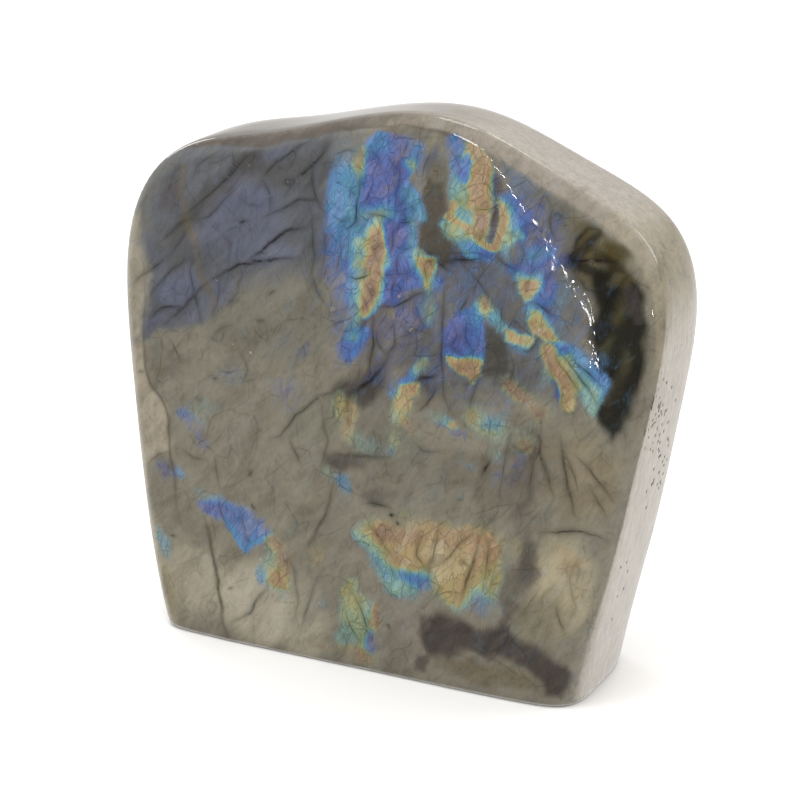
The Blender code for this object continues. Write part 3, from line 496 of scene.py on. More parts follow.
# Long cracks: width, darkness, and the points that each runs through.
CRACKS = (
    # upper left
    (0.6, 0.5, (-41.5, 88.3), (-38, 91.3), (-34, 95), (-30.5, 98), (-28.5, 101), (-26.3, 104)),
    (0.5, 0.4, (-39, 87), (-36, 89), (-33, 92), (-30, 94.8)),
    (0.7, 0.35, (-48.5, 81.6), (-44, 85.3), (-41, 87.4), (-38.5, 88.2)),
    (0.6, 0.3, (-46, 78.8), (-43, 82.5), (-40.3, 86.6)),
    (1, 0.6, (-27.2, 80.6), (-24.5, 82.5), (-22, 85), (-19.5, 87.3), (-17, 88.8), (-13.6, 89.6)),
    (0.9, 0.6, (-36, 75.5), (-32, 78), (-29, 80), (-25, 80.6), (-22, 81.5), (-18, 82.5), (-15, 83.4)),
    (0.9, 0.5, (-46.4, 65.2), (-43, 68.5), (-40, 71.5), (-38, 74), (-35.6, 75.8)),
    (0.8, 0.4, (-50.5, 70.2), (-48, 73), (-46, 75.4), (-44, 77.4), (-40, 80)),
    (0.7, 0.5, (-50.2, 65.4), (-47.5, 68), (-45, 69), (-41.6, 69.9)),
    (0.6, 0.4, (-55.5, 72.4), (-52, 74.8), (-50, 76), (-48, 77.6), (-45, 80.6)),
    (0.6, 0.5, (-24.5, 97.4), (-22, 100.5), (-19, 103), (-16, 106), (-13.5, 108)),
    (0.8, 0.5, (-19.2, 94.8), (-16.5, 98.5), (-14, 101), (-11, 104), (-9.6, 106.6)),
    (0.7, 0.4, (-24, 90), (-20, 92), (-16, 94.5), (-12, 94.7), (-9.4, 93.6)),
    (0.6, 0.4, (-13.6, 103.4), (-13, 98), (-12, 95), (-10, 91.4)),
    (0.6, 0.35, (-13, 93.4), (-12.7, 88), (-12, 84), (-12.7, 77.6)),
    (0.5, 0.35, (-24.6, 98), (-22.5, 95), (-22, 91.2)),
    (0.6, 0.3, (-34, 104), (-36.5, 101), (-39, 99), (-40.6, 95.6)),
    (0.6, 0.4, (-39.4, 80.4), (-40.5, 77), (-39.5, 73), (-38, 69), (-37.4, 66)),
    (0.5, 0.35, (-10.4, 90), (-9.6, 86), (-10.2, 79.6)),
    (0.5, 0.45, (-12.2, 80), (-11, 76.4), (-9.4, 74.4)),
    (0.5, 0.3, (-34, 77.4), (-33.6, 74), (-34.6, 70), (-35, 66.6)),
    (0.5, 0.3, (-32, 97), (-30.6, 100), (-31.6, 104)),
    (0.5, 0.25, (-33.6, 86), (-31, 84), (-31.6, 80)),
    (0.4, 0.25, (-30, 94), (-27, 92), (-24, 92.6), (-22, 95)),
    (0.4, 0.3, (-18, 106.8), (-17, 103), (-19, 99)),
    (0.8, 0.5, (-29.6, 88.3), (-27.6, 89)),
    (0.8, 0.4, (-25, 69), (-23, 69.3)),
    (0.6, 0.4, (-22.4, 74.4), (-20.4, 76)),
    (0.5, 0.35, (-31.6, 71.4), (-30, 72.8)),
    (0.8, 0.45, (-19.6, 97.4), (-16, 98.6)),
    # the left edge
    (0.8, 0.38, (-51.5, 74), (-51.3, 68), (-51.8, 62), (-51.5, 56), (-50, 52), (-48, 50), (-46.5, 48),
        (-45.3, 45), (-45, 38), (-44, 34), (-43.7, 28), (-43, 24.5), (-41.5, 22)),
    (0.6, 0.4, (-54.2, 54), (-51.4, 54.8)),
    (0.5, 0.35, (-52.6, 33.8), (-50, 36), (-47.5, 37.8), (-44.8, 39.3)),
    (0.8, 0.35, (-45, 62), (-44, 60.4), (-42.4, 58)),
    (0.6, 0.3, (-35, 64.2), (-33, 66.4), (-30, 67.6)),
    (0.6, 0.5, (-35, 56), (-33.4, 56.3)),
    (0.8, 0.3, (-28, 62), (-26.5, 59), (-27.6, 55.6)),
    (1.1, 0.55, (-37, 26), (-36, 23), (-35.3, 20), (-34.3, 16), (-33.7, 12), (-32.8, 8), (-32.5, 4),
        (-31.4, 0.6)),
    (0.7, 0.4, (-33.6, 31.6), (-33, 28), (-31.4, 24.6)),
    (0.9, 0.45, (-22, 14), (-24, 11), (-26, 7.5), (-28, 6), (-30.4, 4.6)),
    (0.5, 0.3, (-34, 40.4), (-33.5, 36), (-33, 32)),
    (0.4, 0.45, (-28.6, 30), (-27.5, 26), (-26.8, 21.6)),
    (0.4, 0.35, (-24.6, 29), (-25.6, 26.6), (-26.6, 25)),
    (0.7, 0.5, (-26.6, 37), (-25.4, 38.6)),
    (0.8, 0.5, (-25.6, 31.2), (-24.6, 30.1)),
    (0.6, 0.45, (-45.6, 20.5), (-43.8, 21)),
    (0.6, 0.35, (-42, 40), (-39, 38.4), (-36, 38.6)),
    (0.7, 0.4, (-31.4, 12), (-29.8, 12.6)),
    # across the middle
    (0.6, 0.5, (-21.6, 45.4), (-19, 46.7), (-17, 49), (-15.5, 51.5), (-13.5, 53.5), (-11, 55.8),
        (-8, 57), (-5, 59)),
    (0.5, 0.4, (-17, 46.6), (-16, 44), (-14.4, 41)),
    (0.6, 0.3, (-10.5, 55.6), (-9.5, 50), (-8.5, 47), (-9, 44), (-10.6, 38.6)),
    (0.8, 0.4, (-13.2, 23.6), (-11, 28), (-9.5, 31), (-8, 35), (-6.8, 39.4)),
    (0.8, 0.35, (-14.6, 5.4), (-13.5, 10), (-11.5, 16), (-9.4, 20.4)),
    (0.6, 0.3, (-17.6, 22), (-15.6, 18), (-15, 12), (-16, 7)),
    (1.2, 0.55, (-5.4, 57), (-2, 58.6), (0.6, 60.6), (2.8, 63), (4.2, 65.6)),
    (0.6, 0.5, (4, 65), (4.2, 67), (5.8, 69), (5.5, 71.5), (4.6, 74)),
    (0.5, 0.4, (5.5, 70), (8, 71), (10, 72.4), (13.4, 71.6)),
    (0.5, 0.4, (4, 66), (2, 68.4), (1.5, 71)),
    (0.6, 0.5, (1, 75.6), (0.7, 71), (1.2, 68), (0.6, 64), (0.2, 58)),
    (0.4, 0.4, (-0.2, 73.6), (-1.5, 71), (-3.4, 68.6)),
    (0.5, 0.35, (9.5, 76.2), (11, 74), (13.4, 71.8)),
    (0.4, 0.35, (6, 73.6), (8, 71.6), (9.2, 70.2)),
    (1, 0.5, (9.6, 62.3), (12.5, 63), (15.2, 64.2)),
    (0.6, 0.5, (14.6, 61.6), (12.5, 58), (10.2, 55.6)),
    (0.5, 0.5, (15.2, 83), (15.5, 74), (15.5, 66), (15.8, 60), (17, 57.5), (18.8, 55.6)),
    (0.5, 0.35, (24.2, 64.6), (22.5, 62), (21.8, 59.5), (21.4, 56.6)),
    (1.1, 0.4, (-7, 45), (-2, 45.5), (2, 46), (5.4, 46.4)),
    (0.6, 0.5, (-0.4, 35.4), (2, 36.2), (4, 35.8), (6.4, 35.4)),
    (0.9, 0.6, (5.1, 34), (6.7, 34.3)),
    (0.8, 0.6, (6.7, 32.5), (7.5, 32.7)),
    (0.6, 0.3, (10, 50.2), (12, 48.6), (16.4, 48.2)),
    (0.9, 0.6, (24.2, 45.2), (25.2, 47), (26.4, 48.8)),
    (0.5, 0.35, (29.3, 39), (28.5, 43), (29, 48), (30, 53), (30.6, 57.4)),
    (0.5, 0.4, (-4.4, 56.6), (-4.4, 53), (-3.6, 50)),
    (0.9, 0.5, (4.9, 11), (5.6, 10.4)),
    # the right
    (0.6, 0.35, (35.6, 57.4), (35, 50), (34.5, 46), (34.9, 41.4)),
    (0.7, 0.5, (36.6, 60.4), (36, 55), (36.2, 51.5), (38, 47), (39.7, 43)),
    (0.5, 0.4, (36.5, 52.2), (37.6, 49), (38.8, 45.6)),
    (0.7, 0.5, (40.5, 55.4), (41, 50), (42, 46), (43.5, 41), (44.4, 39.6)),
    (0.5, 0.4, (41, 53.4), (43, 48.5), (44.2, 44.6)),
    (0.7, 0.45, (43.6, 52.4), (46, 50), (49, 46.5), (51.4, 44)),
    (0.5, 0.4, (46.4, 46.4), (48, 43.5), (50.2, 40.6)),
    (0.6, 0.55, (36.6, 36), (40, 36.4), (43, 37.2), (45.5, 37.5), (48, 37), (50.4, 36.2)),
    (0.5, 0.25, (40, 44), (38, 40), (38.4, 37)),
    (0.5, 0.25, (45, 34), (43, 28), (44.6, 22), (42, 16)),
    (0.6, 0.4, (40.4, 22), (41.4, 18.6), (43, 15.6)),
    (0.5, 0.3, (37, 25), (35, 21), (33, 17.6)),
    # in the gold fan
    (0.5, 0.55, (24.6, 34.6), (22.5, 32.8), (20.5, 31), (18.8, 28.5), (16, 25.5), (14.2, 24.5)),
    (0.9, 0.55, (24.8, 34.2), (24, 30), (23, 26.5), (22, 23.5), (20.8, 19.5), (20.1, 17)),
    (0.6, 0.45, (25.5, 34.2), (26.5, 31), (26.3, 27), (25.3, 22.6)),
    (0.5, 0.35, (27.8, 30.4), (28, 27), (26.4, 21.6)),
    (0.5, 0.5, (16, 34.4), (16, 31), (15, 28), (14.2, 24.5), (13.5, 20.6)),
    (0.5, 0.5, (12, 31.8), (11.7, 29), (11.3, 27), (12.5, 25.5), (14.1, 23)),
    (0.5, 0.5, (-0.2, 33.2), (1.5, 31), (3.5, 29), (4.5, 27), (6.7, 25.3)),
    (0.4, 0.35, (1.5, 32.8), (3, 30), (4.2, 27.8)),
    (0.4, 0.3, (20.8, 34.6), (20.6, 31)),
    (0.4, 0.35, (2.4, 24.4), (3.6, 21.8)),
    (0.4, 0.35, (5.4, 24.4), (6.4, 21.2)),
    (0.6, 0.35, (24.8, 34.6), (27, 37), (29.2, 40.4)),
    # at the green foot
    (0.5, 0.5, (-3.4, 18), (-1.5, 14), (0.4, 10), (-0.4, 6), (0, 3.4)),
    (0.5, 0.5, (-4.6, 13), (-3.4, 9), (-1.4, 6.4), (-2.6, 4)),
    (0.4, 0.4, (-6, 8), (-4, 5.6), (-4.4, 3.4)),
    (0.4, 0.4, (-1, 10), (1.4, 8)),
    # in the tall blue flash
    (0.7, 0.6, (-7.4, 90.2), (-5, 90), (-3.5, 91.5), (-3.2, 95), (-2.8, 98), (-2.8, 101.4)),
    (0.4, 0.5, (-9.2, 92.6), (-6, 91), (-4.2, 92.8)),
    (0.5, 0.5, (5.3, 104.6), (5.5, 101), (5.2, 98), (5.3, 92.6)),
    (0.5, 0.45, (5.6, 105.2), (7.2, 109)),
    (0.5, 0.5, (5.2, 92.3), (2, 93.4), (-1.4, 93.6)),
    (0.5, 0.55, (5.2, 92.3), (8, 92.8), (9.8, 93.6)),
    (0.4, 0.5, (5.6, 95), (7.4, 97.6), (8, 100.4)),
    (0.4, 0.5, (6.3, 94.6), (8.2, 92.8), (8.6, 90.4)),
    (0.4, 0.45, (8, 96.2), (9.6, 94.6)),
    (0.5, 0.55, (5.2, 92.3), (4.5, 90.5), (4.6, 87.5), (3.6, 85.8)),
    (0.4, 0.5, (4.6, 87.8), (7, 87.6), (9.8, 88.9)),
    (0.4, 0.5, (6.3, 87.5), (5.5, 84), (5.8, 82.3), (8, 82.8), (9.9, 84.6)),
    (0.4, 0.45, (5.8, 82.3), (4, 82), (2.4, 82.2)),
    (0.4, 0.45, (5.8, 82.3), (5, 79.5), (5, 77)),
    (0.4, 0.45, (5.8, 80.8), (7, 79.2), (7.8, 78)),
    (0.6, 0.6, (1.8, 75.6), (5, 75.9), (7.5, 77), (10, 78.6), (12.2, 79.6)),
    (0.6, 0.6, (0.8, 82), (-1, 81.2), (-3, 80.5), (-5.2, 81.2)),
    (0.3, 0.5, (-1, 80.2), (0.4, 77.6), (1.3, 75.4)),
    (0.3, 0.5, (-2, 78.4), (-0.5, 75.6), (0.4, 74)),
    (0.3, 0.45, (0.2, 80), (1.4, 77.6)),
    (0.3, 0.5, (-0.2, 86), (2.6, 88.4)),
    (0.3, 0.4, (-0.6, 88.4), (1, 85.4), (3, 84)),
    (0.4, 0.4, (-5, 89.6), (-4.6, 86), (-5.2, 83), (-4.2, 80.8)),
    (0.4, 0.4, (-7.2, 89.4), (-6.4, 85), (-7.2, 80)),
    (0.4, 0.4, (2.4, 105.6), (4, 103.4), (6, 100.6)),
    (0.4, 0.4, (-1, 106), (1.4, 104), (2, 101)),
    (0.5, 0.6, (10.8, 85.4), (12.2, 86), (13.2, 84.4)),
    (0.4, 0.5, (11, 85.6), (11.6, 83), (12.4, 81)),
    (0.6, 0.5, (11, 88.4), (12.6, 86.8), (15.5, 84.6), (17.2, 84.2)),
    # in and round the gold and cyan flash
    (0.6, 0.5, (25.4, 88.7), (27, 87.3), (29.5, 86), (30.7, 84.2)),
    (0.6, 0.55, (25.4, 88.6), (22.5, 87.4), (20, 86.8), (17, 86.6), (13.8, 85.4)),
    (0.5, 0.35, (20.4, 85.2), (23, 82.3), (25, 80), (26.7, 78.2)),
    (0.5, 0.4, (18.2, 89.4), (16.5, 91), (13.8, 92.6)),
    (0.4, 0.45, (24.4, 103.4), (25.5, 99), (25, 96), (24.1, 93.2)),
    (0.35, 0.5, (20.4, 96.8), (22.6, 96.9), (24.5, 97.2), (25.4, 98.6)),
    (0.4, 0.4, (19, 98.2), (18, 97.8), (16.8, 99)),
    (0.5, 0.4, (30.2, 92.2), (31.2, 89.5), (30.5, 87), (30.9, 83.8)),
    (0.35, 0.4, (27.4, 93.2), (30, 92.2), (31.5, 91.2)),
    (0.3, 0.35, (31.6, 95.4), (29.5, 97.5), (27.6, 99.8)),
    (0.7, 0.4, (37, 99.6), (36.3, 96), (37.4, 92.6)),
    (0.9, 0.55, (39.4, 89.4), (41, 90.5), (42, 93.5), (44, 95.8), (46.8, 96.2)),
    (0.8, 0.6, (39.6, 88.9), (43, 89.3), (47, 89.7), (50.4, 89.6)),
    (0.5, 0.4, (39, 88.6), (37.5, 87), (36, 85), (35.4, 81.6)),
    (0.6, 0.5, (47, 79.6), (48.5, 83), (51, 86), (52.7, 88.4)),
    (0.5, 0.4, (42, 86.6), (44, 84), (46.4, 83.6)),
    (0.8, 0.5, (33.6, 80.6), (36, 79.5), (37.9, 78.2)),
    (0.5, 0.45, (27, 79.4), (27.5, 76), (27, 73)),
    (0.7, 0.5, (35.2, 74.4), (34.4, 72.4), (33, 71), (30.8, 70.6)),
    (0.7, 0.6, (38.3, 72.9), (41, 70.5), (43.5, 67.5), (45.5, 65), (47.8, 61.6)),
    (0.5, 0.55, (40.3, 73), (43, 70), (45.5, 68), (48.4, 65.8)),
    (0.5, 0.5, (37.9, 72.6), (39.5, 69.5), (42, 66.5), (44.8, 62.6)),
    (0.4, 0.4, (36.7, 71.4), (38, 67), (39.3, 62)),
    (0.35, 0.5, (16.3, 70.6), (19, 69), (21.2, 67.4)),
    (0.35, 0.5, (17.5, 75), (18.5, 72), (17.5, 70), (19.6, 67.4)),
    (0.35, 0.5, (20.5, 77), (20, 72), (21.5, 69.5), (23.2, 68.4)),
    (0.7, 0.4, (20.6, 80), (19, 77), (18.4, 76)),
    (0.6, 0.4, (29, 71), (30.4, 68), (30, 64), (26, 63.6)),
)

SHOW = {"tones": TONES, "flashes": FLASHES, "cracks": CRACKS}

# ---------------------------------------------------------------- layout of the back

BACK_TONES = (
    (((-62, 118), (8, 118), (2, 96), (-14, 84), (-26, 70), (-40, 62), (-62, 58)), SLATE, 0.8, 12),
    (((16, 118), (62, 110), (62, 62), (44, 58), (30, 76), (20, 92)), (122, 114, 98), 0.6, 10),
    ((-32, 92, 9, 14, 40), STEEL, 0.5, 6),
    ((-40, 26, 12, 20, 15), CREAM, 0.5, 9),
    ((12, 34, 18, 11, 65), SAND, 0.5, 8),
    ((2, 66, 9, 15, 28), UMBER, 0.45, 6),
    ((16, 88, 5, 12, -25), SMOKE, 0.45, 5),
    (((38, 72), (47, 78), (56, 68), (56, 42), (48, 28), (43, 44), (37, 58)), MOSS, 0.8, 5),
    ((49, 58, 2.2, 7, 12), AMBER, 0.6, 3),
    (((-10, 9), (-2, 14), (9, 13), (18, 9), (30, 10), (36, 4), (20, 1), (-8, 2)), PLUM, 0.7, 4),
    ((1.4, (-50, 88), (-40, 74), (-34, 56), (-30, 40)), TAWNY, 0.4, 2.5),
)

BACK_FLASHES = (
    (((-31, 97), (-24, 102), (-15, 98), (-10, 88), (-5, 80), (-6, 69), (-13, 64), (-18, 74),
        (-20, 84), (-28, 90)),
        0.15, 0.85, 1.4),
    ((-15, 84, 2.4, 7, -24), 0.3, 0.85, 1.4),
    ((-22, 95, 2.2, 4.4, -46), 0.26, 0.8, 1.2),
    ((-10, 75, 1.6, 5.4, -12), 0.42, 0.85, 1),
    ((-17, 90, 1.2, 2.6, -30), 0.5, 0.7, 0.9),
    (((-4, 85), (0, 89), (5, 85), (7, 77), (3, 70), (-2, 74)), 0.92, 0.6, 1.2, 0.46, 1.4),
    ((2, 79, 1.2, 4, 12), 0.78, 0.9, 0.9),
    (((9, 99), (16, 97), (23, 89), (21, 82), (14, 84), (9, 92)), 0.44, 0.7, 1.4, 0.2, 1.2),
    ((16, 90, 1.2, 4, 35), 0.6, 0.7, 1),
    ((12, 72, 1.8, 5, 30), 0.18, 0.65, 1.2),
    (((16, 60), (20, 68), (25, 70), (27, 62), (25, 54), (22, 46), (19, 52)),
        0.8, 0.5, 1.6, 0.5, 1.6),
    ((-28, 58, 2.6, 6, 35), 0.14, 0.6, 1.6),
    ((-35, 48, 1.8, 3.4, 20), 0.4, 0.5, 1.2),
    ((4, 50, 4, 1.8, -20), 0.6, 0.45, 1.4),
    (((30, 29), (37, 33), (42, 27), (36, 18), (30, 20)), 0.17, 0.65, 1.4),
    ((35, 26, 1.4, 3.4, 20), 0.42, 0.7, 1),
    ((-21, 20, 2.2, 4.5, -30), 0.52, 0.55, 1.4),
    ((-42, 78, 1.8, 4, 10), 0.1, 0.5, 1.4),
    ((-12, 36, 1.6, 2.6, 40), 0.3, 0.45, 1.2),
)

BACK_CRACKS = (
    (0.8, 0.55, (40, 98), (30, 90), (22, 80), (12, 74), (4, 62), (-2, 50)),
    (0.7, 0.5, (-50, 76), (-36, 71), (-24, 73), (-14, 66), (-2, 64), (8, 56)),
    (0.7, 0.5, (-30, 104), (-27, 92), (-28, 80), (-20, 68), (-22, 54)),
    (0.6, 0.45, (48, 62), (40, 56), (34, 48), (30, 36), (32, 22)),
    (0.8, 0.5, (-46, 46), (-34, 38), (-30, 26), (-32, 10)),
    (0.6, 0.45, (6, 34), (0, 24), (2, 12), (-4, 2)),
    (0.5, 0.4, (18, 106), (14, 94), (16, 84), (11, 74)),
    (0.5, 0.45, (-8, 104), (-13, 90), (-8, 78), (-11, 68)),
    (0.5, 0.4, (20, 48), (14, 38), (18, 26), (14, 16)),
    (0.5, 0.4, (-14, 46), (-20, 36), (-16, 24), (-24, 14)),
    (0.5, 0.45, (-24, 100), (-18, 92), (-10, 90)),
    (0.4, 0.45, (-20, 84), (-14, 80), (-6, 79)),
    (0.4, 0.45, (-16, 72), (-10, 74), (-5, 72)),
    (0.4, 0.4, (-26, 94), (-20, 88), (-14, 87)),
    (0.6, 0.45, (46, 84), (42, 74), (44, 62)),
    (0.5, 0.4, (-44, 96), (-38, 86), (-40, 74)),
    (0.5, 0.4, (28, 70), (24, 60), (26, 50), (22, 42)),
    (0.5, 0.4, (-52, 66), (-44, 58), (-42, 46)),
    (0.4, 0.4, (0, 88), (3, 80), (2, 70)),
    (0.5, 0.4, (38, 36), (34, 26), (38, 14)),
    (0.4, 0.35, (8, 62), (12, 54), (10, 44)),
    (0.4, 0.35, (-34, 60), (-26, 54), (-24, 44)),
)

BACK = {"tones": BACK_TONES, "flashes": BACK_FLASHES, "cracks": BACK_CRACKS}

# Pits in the polish of the right side, as clusters: z and y of the middle, the spread up and down
# and how many.
SIDE_PITS = ((62, -8, 5, 26), (57, -4, 4, 18), (50, 0, 4, 16), (44, 3, 3.5, 10), (30, -4, 12, 8))

# Pits in the polish of the show face.
FACE_PITS = (
    (-29.5, 88.5), (-25, 69), (-31, 72.3), (-22, 73.5), (-18.5, 97.5), (-16.5, 98), (-27, 100),
    (6.6, 34.2), (7.2, 32.7), (12.5, 31.7), (5.3, 10.7), (-25.6, 30.8), (-44.5, 20.7),
    (12.5, 102.5), (11.5, 99), (13.6, 97.5), (12.2, 94.5), (41, 84), (44, 88.5), (38.5, 95),
)

# ---------------------------------------------------------------- painting

# Small random shifts that roughen every outline: over what size, how far, and a seed. The cracks
# follow only a share of them.
WARPS = ((8.0, 0.7, 1), (2.7, 0.45, 2), (1.2, 0.22, 3))
TONE_WARP = (3.4, 0.7, 7)
CRACK_WARP_SHARE = 0.45
DICE_SQUARES = 64

# Where a flash's order and strength change over, as shares of its softness. Below 0 is outside.
ORDER_EDGE = (-2.1, 0.7)
GLOW_EDGE = (-1.5, 1.2)
START_ORDER = 0.3
CRACK_REACH = (0.6, 1.5)  # a crack's darkness ends between these distances from it
CRACK_TIP = 0.15  # how dark a crack still is at its ends, as a share
FAR_FROM_CRACKS = 9.0

# A face's pattern goes on past its rim: there x and z grow with the distance behind this plane.
RIM_PLANE = 17.0
MOST_BEHIND = 40.0
WRAP = 0.8


def ease(value, start, end):
    """Goes smoothly from 0, where the value is at start, to 1, where it is at end."""
    share = np.clip((value - start) / (end - start), 0.0, 1.0)
    return share * share * (3.0 - 2.0 * share)


def over(under, upper, share):
    """Lays one value or colour over another, with this share at each place."""
    share = share[:, None] if np.ndim(under) == 2 else share
    return under + (np.asarray(upper) - under) * share


def dice(column, row, seed):
    """Two random numbers from -1 to 1 for each square of a grid."""
    size = (DICE_SQUARES, DICE_SQUARES, 2)
    table = np.random.default_rng(seed).uniform(-1.0, 1.0, size)
    return table[row.astype(int) % DICE_SQUARES, column.astype(int) % DICE_SQUARES]


def wander(x, z, size, reach, seed):
    """A smooth random shift of x and z, which changes over about this size."""
    column, row = np.floor(x / size), np.floor(z / size)
    across, up = ease(x / size - column, 0, 1)[:, None], ease(z / size - row, 0, 1)[:, None]
    low = dice(column, row, seed) * (1 - across) + dice(column + 1, row, seed) * across
    high = dice(column, row + 1, seed) * (1 - across) + dice(column + 1, row + 1, seed) * across
    shift = (low * (1 - up) + high * up) * reach
    return shift[:, 0], shift[:, 1]


def from_line(x, z, points):
    """Distance to a line through these points, how far along it that is, from 0 to 1, and on which
    side of it, as -1 or 1."""
    nearest, place, side = np.full(len(x), np.inf), np.zeros(len(x)), np.ones(len(x))
    lengths = [math.dist(start, end) for start, end in zip(points, points[1:])]
    passed = 0.0
    for (start_x, start_z), (end_x, end_z), length in zip(points, points[1:], lengths):
        run_x, run_z = (end_x - start_x) / length, (end_z - start_z) / length
        along = np.clip((x - start_x) * run_x + (z - start_z) * run_z, 0.0, length)
        across = (x - start_x) * run_z - (z - start_z) * run_x
        away = np.hypot(x - start_x - along * run_x, z - start_z - along * run_z)
        closer = away < nearest
        place = np.where(closer, (passed + along) / sum(lengths), place)
        side = np.where(closer, np.sign(across), side)
        nearest = np.minimum(nearest, away)
        passed += length
    return nearest, place, side


def depth(x, z, shape):
    """How far inside a shape these places are."""
    if not isinstance(shape[1], tuple):
        middle_x, middle_z, across, along, tilt = (*shape, 0)[:5]
        cos, sin = math.cos(math.radians(tilt)), math.sin(math.radians(tilt))
        side = (x - middle_x) * cos - (z - middle_z) * sin
        up = (x - middle_x) * sin + (z - middle_z) * cos
        return (1 - np.hypot(side / across, up / along)) * min(across, along)
    if not isinstance(shape[0], tuple):
        return shape[0] - from_line(x, z, shape[1:])[0]
    inside = np.zeros(len(x), bool)
    for (start_x, start_z), (end_x, end_z) in zip(shape, shape[1:] + shape[:1]):
        crosses = (start_z > z) != (end_z > z)
        rise = (z - start_z) / (end_z - start_z) if end_z != start_z else 0.0
        inside ^= crosses & (x < start_x + rise * (end_x - start_x))
    return from_line(x, z, shape + shape[:1])[0] * np.where(inside, 1.0, -1.0)


def lay_tones(x, z, tones):
    """The ground colour at these places."""
    shift_x, shift_z = wander(x, z, *TONE_WARP)
    ground = np.zeros((len(x), 3)) + np.asarray(paint(*OLIVE)[:3])
    for shape, tone, strength, soft in tones:
        inside = depth(x + shift_x, z + shift_z, shape)
        share = ease(inside, -0.5 * soft, 0.5 * soft) * strength
        ground = over(ground, paint(*tone)[:3], share)
    return ground


def lay_flashes(x, z, flashes):
    """The order and strength of the flash at these places."""
    order, glow = np.full(len(x), START_ORDER), np.zeros(len(x))
    for shape, level, strength, soft, *rim in flashes:
        inside = depth(x, z, shape)
        if rim:
            level = over(np.full(len(x), rim[0]), level, ease(inside, 0.0, rim[1]))
        order = over(order, level, ease(inside, *(share * soft for share in ORDER_EDGE)))
        glow = over(glow, strength, ease(inside, *(share * soft for share in GLOW_EDGE)))
    return order, glow


def lay_cracks(x, z, cracks):
    """How far the nearest long crack is, as half widths with a sign for its side and as
    millimetres, and how dark it is."""
    rift = np.full(len(x), FAR_FROM_CRACKS)
    near, dark = rift.copy(), np.zeros(len(x))
    for width, strength, *line in cracks:
        away, place, side = from_line(x, z, line)
        taper = CRACK_TIP + (1 - CRACK_TIP) * np.sin(np.pi * (0.94 * place + 0.04))
        closer = away / (0.5 * width) < np.abs(rift)
        rift = np.where(closer, side * away / (0.5 * width), rift)
        near = np.where(closer, away, near)
        dark = np.where(closer, strength * taper * (1 - ease(away, *CRACK_REACH)), dark)
    return rift, near, dark


def face_look(points, normals, face, sign):
    """What a polished face shows, by the names of the skin's attributes. Past its rim the ground
    colours go on round the edge, and the flashes and cracks end."""
    behind = np.clip(RIM_PLANE - sign * points[:, 1], 0, MOST_BEHIND)
    straight_x = points[:, 0] + normals[:, 0] * behind * WRAP
    straight_z = points[:, 2] + normals[:, 2] * behind * WRAP
    x, z = straight_x, straight_z
    for warp in WARPS:
        shift_x, shift_z = wander(x, z, *warp)
        x, z = x + shift_x, z + shift_z
    crack_x, crack_z = over(straight_x, x, CRACK_WARP_SHARE), over(straight_z, z, CRACK_WARP_SHARE)
    order, glow = lay_flashes(x, z, face["flashes"])
    rift, near, dark = lay_cracks(crack_x, crack_z, face["cracks"])
    square_on = sign * normals[:, 1]
    return {
        "ground": lay_tones(x, z, face["tones"]),
        "order": order,
        "glow": glow * ease(square_on, 0.5, 0.7),
        "rift": rift,
        "near": near,
        "dark": dark * ease(square_on, 0.2, 0.8),
    }


def skin_look(points, normals):
    """The look of the whole skin: the back's takes over from the show face's along the edge."""
    painted = face_look(points, normals, SHOW, -1.0)
    back = face_look(points, normals, BACK, 1.0)
    share = ease(normals[:, 1], 0.1, 0.5)
    for name, values in back.items():
        painted[name] = over(painted[name], values, share if name == "ground" else share > 0.5)
    # the rind covers the right side, thinly the top right and the left side, and barely the rest
    edge = ease(np.abs(normals[:, 1]), 0.9, 0.45)
    wall = ease(normals[:, 0], 0.78, 0.93) * ease(points[:, 2], 86, 70)
    top_right = 0.5 * ease(normals[:, 0], 0.1, 0.4) * ease(normals[:, 0], 0.75, 0.6)
    left = 0.7 * ease(-normals[:, 0], 0.5, 0.9)
    painted["rind"] = edge * np.maximum.reduce([wall, top_right, left, np.full(len(points), 0.02)])
    return painted


# ---------------------------------------------------------------- shader building


